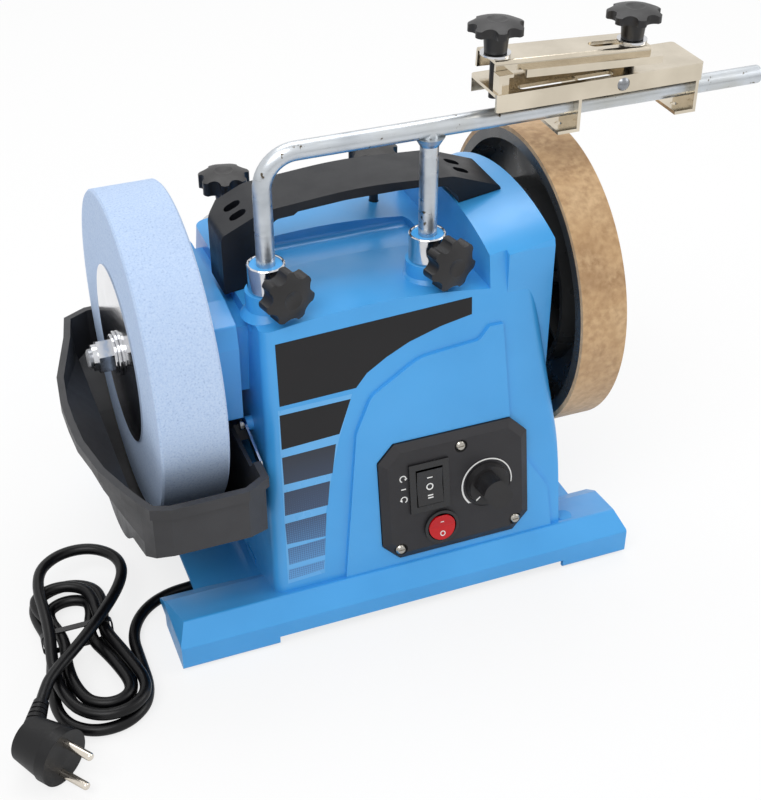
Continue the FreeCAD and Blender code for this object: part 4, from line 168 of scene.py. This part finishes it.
class Finish:
    """A material made of noise, ramps and bumps over the object's own coordinates."""

    def __init__(self, name, colour, rough, metal=0.0):
        self.material = bpy.data.materials.new(name)
        self.material.use_nodes = True
        self.tree = self.material.node_tree
        self.shader = self.tree.nodes["Principled BSDF"]
        self.shader.inputs["Base Color"].default_value = linear(*colour)
        self.shader.inputs["Roughness"].default_value = rough
        self.shader.inputs["Metallic"].default_value = metal
        self.place = self.tree.nodes.new("ShaderNodeTexCoord").outputs["Object"]
        self.normal = None

    def set(self, **values):
        for name, value in values.items():
            self.shader.inputs[name.replace("_", " ")].default_value = value
        return self

    def stretched(self, x, y, z):
        node = self.tree.nodes.new("ShaderNodeMapping")
        node.inputs["Scale"].default_value = (x, y, z)
        self.tree.links.new(self.place, node.inputs["Vector"])
        return node.outputs[0]

    def noise(self, scale, detail=3.0, place=None):
        node = self.tree.nodes.new("ShaderNodeTexNoise")
        node.inputs["Scale"].default_value = scale
        node.inputs["Detail"].default_value = detail
        self.tree.links.new(place or self.place, node.inputs["Vector"])
        return node.outputs["Fac"]

    def ramp(self, value, stops):
        node = self.tree.nodes.new("ShaderNodeValToRGB")
        bar = node.color_ramp
        while len(bar.elements) < len(stops):
            bar.elements.new(0.5)
        for element, (place, colour) in zip(bar.elements, stops):
            element.position = place
            element.color = colour if len(colour) == 4 else linear(*colour)
        self.tree.links.new(value, node.inputs[0])
        return node.outputs[0]

    def level(self, value, low, high, start=0.35, end=0.65):
        node = self.tree.nodes.new("ShaderNodeMapRange")
        node.inputs["From Min"].default_value = start
        node.inputs["From Max"].default_value = end
        node.inputs["To Min"].default_value = low
        node.inputs["To Max"].default_value = high
        self.tree.links.new(value, node.inputs["Value"])
        return node.outputs[0]

    def mix(self, share, one, two):
        node = self.tree.nodes.new("ShaderNodeMix")
        node.data_type = "RGBA"
        self.tree.links.new(share, node.inputs["Factor"])
        for socket, value in ((node.inputs[6], one), (node.inputs[7], two)):
            if isinstance(value, tuple):
                socket.default_value = value if len(value) == 4 else linear(*value)
            else:
                self.tree.links.new(value, socket)
        return node.outputs[2]

    def colour(self, value):
        self.tree.links.new(value, self.shader.inputs["Base Color"])
        return self

    def rough(self, value):
        self.tree.links.new(value, self.shader.inputs["Roughness"])
        return self

    def bump(self, value, strength, distance):
        node = self.tree.nodes.new("ShaderNodeBump")
        node.inputs["Strength"].default_value = strength
        node.inputs["Distance"].default_value = distance
        self.tree.links.new(value, node.inputs["Height"])
        if self.normal:
            self.tree.links.new(self.normal, node.inputs["Normal"])
        self.normal = node.outputs[0]
        self.tree.links.new(self.normal, self.shader.inputs["Normal"])
        return self


BLUE = (64, 159, 226)


def moulded(name, colour, rough, grain=0.12, tone=10):
    """Moulded plastic: slightly uneven tone and gloss, and a fine spark-eroded grain."""
    f = Finish(name, colour, rough)
    darker = tuple(max(0, c - tone) for c in colour)
    lighter = tuple(min(255, c + tone) for c in colour)
    f.colour(f.ramp(f.noise(14, 4), [(0.3, darker), (0.7, lighter)]))
    f.rough(f.level(f.noise(60, 5), rough - 0.06, rough + 0.07))
    f.bump(f.noise(1900, 2), grain, 0.00025)
    return f


def plated(name, colour, rough, streak=0.06):
    """Plated or polished metal: fine wear in its gloss, faint clouding in its tone."""
    f = Finish(name, colour, rough, 1.0)
    darker = tuple(max(0, c - 14) for c in colour)
    f.colour(f.ramp(f.noise(45, 5), [(0.35, darker), (0.65, colour)]))
    f.rough(f.level(f.noise(320, 4), max(0.03, rough - streak), rough + streak))
    f.bump(f.noise(2600, 2), 0.05, 0.0001)
    return f


housing_finish = moulded("housing_blue", BLUE, 0.34, 0.05, 5).set(Coat_Weight=0.25, Coat_Roughness=0.18)
black = moulded("black_plastic", (19, 21, 26), 0.40, 0.30, 4).set(Specular_IOR_Level=0.3)
trough_grey = moulded("trough_grey", (40, 40, 43), 0.46, 0.30, 5)
panel_black = moulded("panel_black", (34, 33, 36), 0.50, 0.42, 4).set(Specular_IOR_Level=0.42)
switch_black = moulded("switch_black", (26, 26, 28), 0.28, 0.10, 3)
knob_black = moulded("knob_black", (27, 26, 27), 0.40, 0.35, 4).set(Specular_IOR_Level=0.42)
wheel_dark = moulded("wheel_dark", (54, 55, 56), 0.30, 0.12, 4)
cord_black = moulded("cord_black", (8, 8, 10), 0.34, 0.12, 3).set(Specular_IOR_Level=0.25)
plug_black = moulded("plug_black", (10, 10, 12), 0.42, 0.35, 3).set(Specular_IOR_Level=0.3)
foot_rubber = moulded("foot_rubber", (24, 24, 24), 0.75, 0.5, 4)
tyre_rubber = moulded("tyre_rubber", (30, 30, 30), 0.7, 0.5, 5)
pale_plastic = moulded("bush_plastic", (206, 204, 198), 0.5, 0.1, 6)
red = moulded("switch_red", (192, 10, 20), 0.16, 0.04, 6)
red.set(Coat_Weight=0.15, Coat_Roughness=0.05, Specular_IOR_Level=0.3)
motor_paint = moulded("motor_steel", (112, 114, 118), 0.42, 0.15, 8).set(Metallic=0.6)
board = moulded("board", (30, 104, 58), 0.45, 0.2, 8)
chrome = plated("bright_steel", (214, 215, 218), 0.13)
disc_mirror = plated("polished_disc", (222, 222, 224), 0.10, 0.03)
nickel = plated("nickel_sheet", (216, 206, 188), 0.17, 0.05)
dark_steel = plated("dark_steel", (150, 152, 156), 0.30)
screw_steel = plated("screw_steel", (176, 172, 164), 0.22)
pin_metal = plated("pin_metal", (222, 214, 202), 0.16, 0.04)

zinc = Finish("zinc_steel", (188, 194, 200), 0.34, 1.0)
drawn = zinc.noise(40, 6, zinc.stretched(1, 1, 9))
patch = zinc.noise(26, 5)
tone = zinc.ramp(patch, [(0.30, (168, 174, 180)), (0.52, (196, 201, 206)), (0.72, (184, 186, 184))])
stain = zinc.ramp(zinc.noise(190, 6), [(0.665, (0, 0, 0, 1)), (0.70, (1, 1, 1, 1))])
zinc.colour(zinc.mix(stain, tone, (88, 78, 64)))
zinc.rough(zinc.level(drawn, 0.26, 0.44)).bump(drawn, 0.10, 0.0002)

stone = Finish("stone", (182, 203, 232), 0.92)
grit = stone.noise(1500, 3)
fleck = stone.ramp(stone.noise(900, 4),
                   [(0.26, (150, 172, 208)), (0.42, (180, 202, 233)), (0.66, (196, 213, 238))])
cloud = stone.level(stone.noise(11, 4), 0.0, 0.25)
stone.colour(stone.mix(cloud, fleck, (170, 194, 228))).bump(grit, 0.35, 0.0004)

leather = Finish("leather", (184, 148, 106), 0.88)
nap = leather.noise(240, 6)
blotch = leather.ramp(leather.noise(19, 7),
                      [(0.30, (150, 115, 80)), (0.50, (188, 152, 110)), (0.70, (208, 176, 136))])
fibre = leather.ramp(nap, [(0.35, (154, 120, 84)), (0.65, (210, 178, 138))])
half = leather.level(leather.noise(70, 3), 0.25, 0.6)
leather.colour(leather.mix(half, blotch, fibre)).bump(nap, 0.5, 0.0006)
leather.bump(leather.noise(1500, 2), 0.3, 0.0003)
leather.set(Sheen_Weight=0.25)

white_print = Finish("white_print", (232, 232, 230), 0.5)
white_print.rough(white_print.level(white_print.noise(400), 0.4, 0.6))

FINISHES = {
    "housing": housing_finish,
    "base_plate": motor_paint,
    "rubber_feet": foot_rubber,
    "handle": black,
    "water_trough": trough_grey,
    "trough_latch": chrome,
    "cord_tie": switch_black,
    "panel_bezel": panel_black,
    "panel_screws": screw_steel,
    "direction_switch_case": switch_black,
    "direction_rocker": switch_black,
    "power_switch_case": switch_black,
    "power_rocker": red,
    "potentiometer": dark_steel,
    "speed_knob": knob_black,
    "motor_can": motor_paint,
    "motor_end_cap": motor_paint,
    "motor_bracket": dark_steel,
    "control_board": board,
    "grinding_stone": stone,
    "stone_bush": pale_plastic,
    "stone_face_disc": disc_mirror,
    "stone_back_flange": dark_steel,
    "stone_washers": chrome,
    "drive_wheel": wheel_dark,
    "drive_tyre": tyre_rubber,
    "honing_wheel_core": wheel_dark,
    "honing_leather": leather,
    "support_bar": zinc,
    "jig_base": nickel,
    "jig_legs": nickel,
    "jig_clamp_bar": nickel,
    "jig_washers": chrome,
    "plug_body": plug_black,
    "plug_pins": pin_metal,
    "cord_gland": cord_black,
    "power_cord_lead": cord_black,
    "power_cord_hank": cord_black,
}
for place in ("front", "rear", "jig"):
    for side in ("left", "right"):
        FINISHES[f"{place}_knob_{side}"] = knob_black
BRIGHT_ENDINGS = ("collar_left", "collar_right", "nut")
for name, node in nodes.items():
    finish = FINISHES.get(name, chrome if name.endswith(BRIGHT_ENDINGS) else dark_steel)
    node.data.materials.clear()
    node.data.materials.append(finish.material)


# Mains cord: one line that follows the route's points, from the gland to the plug. Its coil is
# a loop of half turns round a foot and a head: inwards on the floor, outwards on top of that,
# and one more half turn above. Each layer's bends lie aside of the ones below, as a hand leaves them.
LEAD = [(-120.1, -50.0, 6.6), (-131.0, -50.0, 6.6), (-143.0, -50.0, 4.7), (-156.5, -50.6, 4.6),
        (-171.6, -56.4, 4.6), (-183.0, -67.9, 4.6), (-189.0, -83.0, 4.6), (-189.0, -98.5, 4.6)]
CLIMBS = {3: [(-215.2, -72.4, 6.6), (-205.4, -103.2, 12.4)],
          6: [(-241.9, -103.2, 12.4), (-236.7, -72.0, 20.4)]}
TAIL = [(-185.4, -47.4, 21.2), (-215.0, -85.0, 21.2), (-243.5, -112.5, 21.2), (-249.5, -122.5, 19.3),
        (-252.5, -129.0, 18.6)]
COIL_X, COIL_FOOT_Y, COIL_WAIST_Y, COIL_HEAD_Y = -219.0, -122.0, -72.0, -44.0
COIL_WIDE, COIL_STEP = 30.0, 4.3
RUN_Y = -103.0
RUN_DRAWN, WAIST_DRAWN = 1.0, 8.0
BEND_CORNER = 0.414
HEAD_FROM_Y, HEAD_REACH = -75.0, 45.0
FOOT_FROM_Y, FOOT_REACH = -95.0, 40.0
# For each half turn its height and how far its head and its foot lie aside, in x and y
OUTER = (4.6, (0, 0), (0, 0))
INNER = (4.6, (0, -6), (0, 6))
SECOND = (12.4, (-9, -4), (9, -1))
TOP = (21.2, (7, 9), (0, 0))
HALF_TURNS = [OUTER, OUTER, INNER, INNER, SECOND, SECOND, SECOND, TOP]


def coil_point(x, y, half_turn):
    """A point of a true loop, laid aside as its layer lies, to a tenth of a millimetre."""
    x, y = round(x, 1), round(y, 1)
    z, head, foot = half_turn
    to_head = min(max((y - HEAD_FROM_Y) / HEAD_REACH, 0), 1)
    to_foot = min(max((FOOT_FROM_Y - y) / FOOT_REACH, 0), 1)
    return (round(x + to_head * head[0] + to_foot * foot[0], 1),
            round(y + to_head * head[1] + to_foot * foot[1], 1), z)


def coil_route():
    points = []
    before = COIL_WIDE
    for i, half_turn in enumerate(HALF_TURNS):
        track = COIL_WIDE - COIL_STEP * (4 - abs(i - 3))
        radius = (before + track) / 2
        side, end_y = (1, COIL_FOOT_Y) if i % 2 == 0 else (-1, COIL_HEAD_Y)
        centre = COIL_X + side * (before - radius)
        for across, out in ((1, BEND_CORNER), (BEND_CORNER, 1), (-BEND_CORNER, 1), (-1, BEND_CORNER)):
            points.append(coil_point(centre + side * across * radius, end_y - side * out * radius, half_turn))
        before = track
        run = [(COIL_X - side * (track - RUN_DRAWN), RUN_Y),
               (COIL_X - side * (track - WAIST_DRAWN), COIL_WAIST_Y)]
        if i in CLIMBS:
            points += CLIMBS[i]
        elif i < len(HALF_TURNS) - 1:
            points += [coil_point(x, y, half_turn) for x, y in run[::side]]
    return points


ROUTE = LEAD + coil_route() + TAIL
CORD_ACROSS = 0.0072
line = bpy.data.curves.new("power_cord", "CURVE")
line.dimensions = "3D"
spline = line.splines.new("NURBS")
spline.points.add(len(ROUTE) - 1)
for point, place in zip(spline.points, ROUTE):
    point.co = (*at(*place), 1)
spline.order_u = 3
spline.use_endpoint_u = True
spline.resolution_u = 10
line.bevel_depth = CORD_ACROSS / 2
line.bevel_resolution = 6
line.use_fill_caps = True
line.materials.append(cord_black.material)
cord = bpy.data.objects.new("power_cord", line)
bpy.context.scene.collection.objects.link(cord)
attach(cord, "machine")
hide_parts("power_cord_lead", "power_cord_hank")


# Printed fields and marks, and rings of painted shade round the panel screws, laid on the surfaces that carry
# them
def tree_of(name):
    mesh = nodes[name].data
    return BVHTree.FromPolygons([v.co for v in mesh.vertices], [p.vertices for p in mesh.polygons])


def lay(name, patches, place, inward, carrier, body, finish, lift=0.00012, step=0.004):
    """A thin printed field or a patch of painted shade: its outlines (mm, on a plane) are cut fine and
    dropped on the carrier.
    """
    made = bmesh.new()
    for outline in patches:
        made.faces.new([made.verts.new(place(u, v)) for u, v in outline])
    bmesh.ops.remove_doubles(made, verts=made.verts[:], dist=0.000002)
    bmesh.ops.triangulate(made, faces=made.faces[:])
    for _ in range(5):
        long = [e for e in made.edges if e.calc_length() > step]
        if not long:
            break
        bmesh.ops.subdivide_edges(made, edges=long, cuts=1)
        bmesh.ops.triangulate(made, faces=made.faces[:])
    under = tree_of(carrier)
    inward = inward.normalized()
    for v in made.verts:
        hit = under.ray_cast(v.co - inward * 0.03, inward)
        if hit[0] is not None:
            v.co = hit[0] - inward * lift
    bmesh.ops.recalc_face_normals(made, faces=made.faces[:])
    if made.faces and sum(f.normal.dot(inward) * f.calc_area() for f in made.faces) > 0:
        bmesh.ops.reverse_faces(made, faces=made.faces[:])
    mesh = bpy.data.meshes.new(name)
    made.to_mesh(mesh)
    made.free()
    mesh.materials.append(finish.material)
    piece = bpy.data.objects.new(name, mesh)
    bpy.context.scene.collection.objects.link(piece)
    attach(piece, body)
    return piece


WALL_SLOPE = 0.161
WALL_FOOT_Y, WALL_FOOT_Z = -105, 20
PANEL_X, PANEL_Z = 19.8, 75.4
PANEL_OUT = 6.2
PANEL_SCREWS = [(4.0, 30.5), (40.0, -31.5), (-39.0, -33.0)]
DIAL_X, DIAL_UP = 20.5, 0.5
LEAN = math.atan(WALL_SLOPE)
WALL_IN = Vector((0, math.cos(LEAN), -math.sin(LEAN)))


def wall_y(z):
    return WALL_FOOT_Y + WALL_SLOPE * (z - WALL_FOOT_Z)


def on_wall(x, z):
    """A point of the leaning front wall."""
    return at(x, wall_y(z), z)


def on_panel(x, up):
    """A point of the control panel's face, in the panel's own millimetres."""
    y = wall_y(PANEL_Z) - PANEL_OUT * math.cos(LEAN) + up * math.sin(LEAN)
    return at(PANEL_X + x, y, PANEL_Z + PANEL_OUT * math.sin(LEAN) + up * math.cos(LEAN))


printed = moulded("printed_black", (24, 23, 25), 0.36, 0.05, 2).set(Specular_IOR_Level=0.3)
fading = Finish("printed_fading", (30, 29, 31), 0.38)
split = fading.tree.nodes.new("ShaderNodeSeparateXYZ")
fading.tree.links.new(fading.place, split.inputs[0])
dots = fading.tree.nodes.new("ShaderNodeTexVoronoi")
dots.voronoi_dimensions = "2D"
dots.inputs["Scale"].default_value = 720
dots.inputs["Randomness"].default_value = 0.0
flat = fading.tree.nodes.new("ShaderNodeCombineXYZ")
fading.tree.links.new(split.outputs["X"], flat.inputs["X"])
fading.tree.links.new(split.outputs["Z"], flat.inputs["Y"])
fading.tree.links.new(flat.outputs[0], dots.inputs["Vector"])
less = fading.tree.nodes.new("ShaderNodeMath")
less.operation = "LESS_THAN"
fading.tree.links.new(dots.outputs["Distance"], less.inputs[0])
fading.tree.links.new(fading.level(split.outputs["Z"], 0.30, 0.74, 0.030, 0.125), less.inputs[1])
down = fading.level(split.outputs["Z"], 0.0, 1.0, 0.040, 0.125)
paler = fading.ramp(down, [(0.0, (96, 158, 214)), (0.5, (74, 104, 142)), (1.0, (44, 50, 62))])
deeper = fading.ramp(down, [(0.0, (76, 128, 182)), (0.5, (52, 72, 102)), (1.0, (32, 37, 47))])
fading.colour(fading.mix(less.outputs[0], paler, deeper))

FIELD = [(-86.2, 194.4), (36.8, 198.9), (36.4, 188.1), (16, 184.6), (-4.6, 178.8), (-19, 172.4),
         (-32.1, 164.8), (-39.5, 156.8), (-87.1, 155.4)]
lay("label_field", [FIELD], on_wall, WALL_IN, "housing", "machine", printed)
film = moulded("printed_edge", (98, 174, 232), 0.30, 0.05, 4)
EDGE = [(-88.4, 153.0), (-42.2, 153.6), (-52.6, 125.6), (-59.4, 101.0), (-65.2, 76.0), (-68.4, 36.6),
        (-92.8, 35.4)]
lay("label_edge", [EDGE], on_wall, WALL_IN, "housing", "machine", film, lift=0.00006)
BLOCKS = [
    [(-87.7, 149.8), (-43.4, 150.5), (-52.0, 129.4), (-88.4, 127.6)],
    [(-88.7, 122.3), (-54.7, 123.3), (-58.3, 104.5), (-89.1, 104.2)],
    [(-89.6, 98.9), (-60.3, 99.5), (-62.9, 83.5), (-90.4, 83.2)],
    [(-90.9, 77.7), (-64.2, 78.3), (-66.1, 62.4), (-91.0, 63.3)],
    [(-90.7, 60.0), (-66.2, 61.0), (-67.5, 49.2), (-91.0, 48.6)],
    [(-91.4, 45.1), (-68.0, 45.7), (-69.0, 39.4), (-92.0, 38.0)],
]
for i, block in enumerate(BLOCKS):
    finish = printed if i == 0 else fading
    lay(f"label_block_{i + 1}", [block], on_wall, WALL_IN, "housing", "machine", finish)


def arc(cx, cz, radius, start, end, wide_start, wide_end, count=48):
    """Patches of a curved stroke whose width changes along it."""
    outer, inner = [], []
    for i in range(count + 1):
        s = i / count
        a = math.radians(start + (end - start) * s)
        w = (wide_start + (wide_end - wide_start) * s) / 2
        outer.append((cx + (radius + w) * math.cos(a), cz + (radius + w) * math.sin(a)))
        inner.append((cx + (radius - w) * math.cos(a), cz + (radius - w) * math.sin(a)))
    return [[outer[i], outer[i + 1], inner[i + 1], inner[i]] for i in range(count)]


def bar(cx, cz, wide, high):
    """One patch, a plain stroke."""
    return [[(cx - wide / 2, cz - high / 2), (cx + wide / 2, cz - high / 2),
             (cx + wide / 2, cz + high / 2), (cx - wide / 2, cz + high / 2)]]


HEAD_SPREAD = 0.62


def arrow(cx, cz, radius, start, end, wide, head):
    """A turning arrow: an arc that ends in a pointed head."""
    way = 1 if end > start else -1
    patches = arc(cx, cz, radius, start, end, wide, wide, 20)
    a = math.radians(end)
    tip = a + way * head / radius
    out, back = radius + head * HEAD_SPREAD, radius - head * HEAD_SPREAD
    patches.append([(cx + out * math.cos(a), cz + out * math.sin(a)),
                    (cx + radius * math.cos(tip), cz + radius * math.sin(tip)),
                    (cx + back * math.cos(a), cz + back * math.sin(a))])
    return patches


def mark(name, patches, carrier, body):
    lay(name, patches, on_panel, WALL_IN, carrier, body, white_print, lift=0.00008, step=0.002)


# Dark flat rings round the panel screws: painted shade standing in for the shadow in their countersinks
painted_shade = moulded("painted_shade_black", (9, 9, 10), 0.6, 0.1, 2).set(Specular_IOR_Level=0.2)
for i, (x, up) in enumerate(PANEL_SCREWS):
    ring = arc(x, up, 3.85, 0, 360, 0.8, 0.8, 32)
    lay(f"screw_painted_shade_{i + 1}", ring, on_panel, WALL_IN, "panel_bezel", "machine", painted_shade,
        lift=0.00006, step=0.002)
POINTER = [(10.6, -7.3), (11.2, -8.1), (14.0, -5.9), (13.4, -5.1)]
mark("dial_arc", arc(DIAL_X, DIAL_UP, 16.9, 227, -11, 1.2, 0.7), "panel_bezel", "machine")
mark("dial_pointer", [POINTER], "speed_knob", "speed_dial")
mark("turn_mark_up", arrow(-35.4, 17.2, 2.0, 250, 0, 0.7, 1.7), "panel_bezel", "machine")
mark("turn_mark_line", bar(-35.4, 9.8, 3.2, 0.8), "panel_bezel", "machine")
mark("turn_mark_down", arrow(-35.4, 2.4, 2.0, -70, 180, 0.7, 1.7), "panel_bezel", "machine")
mark("rocker_mark_one", bar(-18.5, 15.2, 3.6, 0.8), "direction_rocker", "direction_switch")
mark("rocker_mark_off", arc(-18.5, 8.5, 2.0, 0, 360, 0.8, 0.8, 32), "direction_rocker", "direction_switch")
mark("rocker_mark_two_a", bar(-18.5, 2.6, 3.6, 0.8), "direction_rocker", "direction_switch")
mark("rocker_mark_two_b", bar(-18.5, 0.9, 3.6, 0.8), "direction_rocker", "direction_switch")
mark("power_mark_on", bar(-11.5, -18.6, 2.2, 0.7), "power_rocker", "power_switch")
mark("power_mark_off", arc(-11.5, -27.0, 1.5, 0, 360, 0.6, 0.6, 24), "power_rocker", "power_switch")
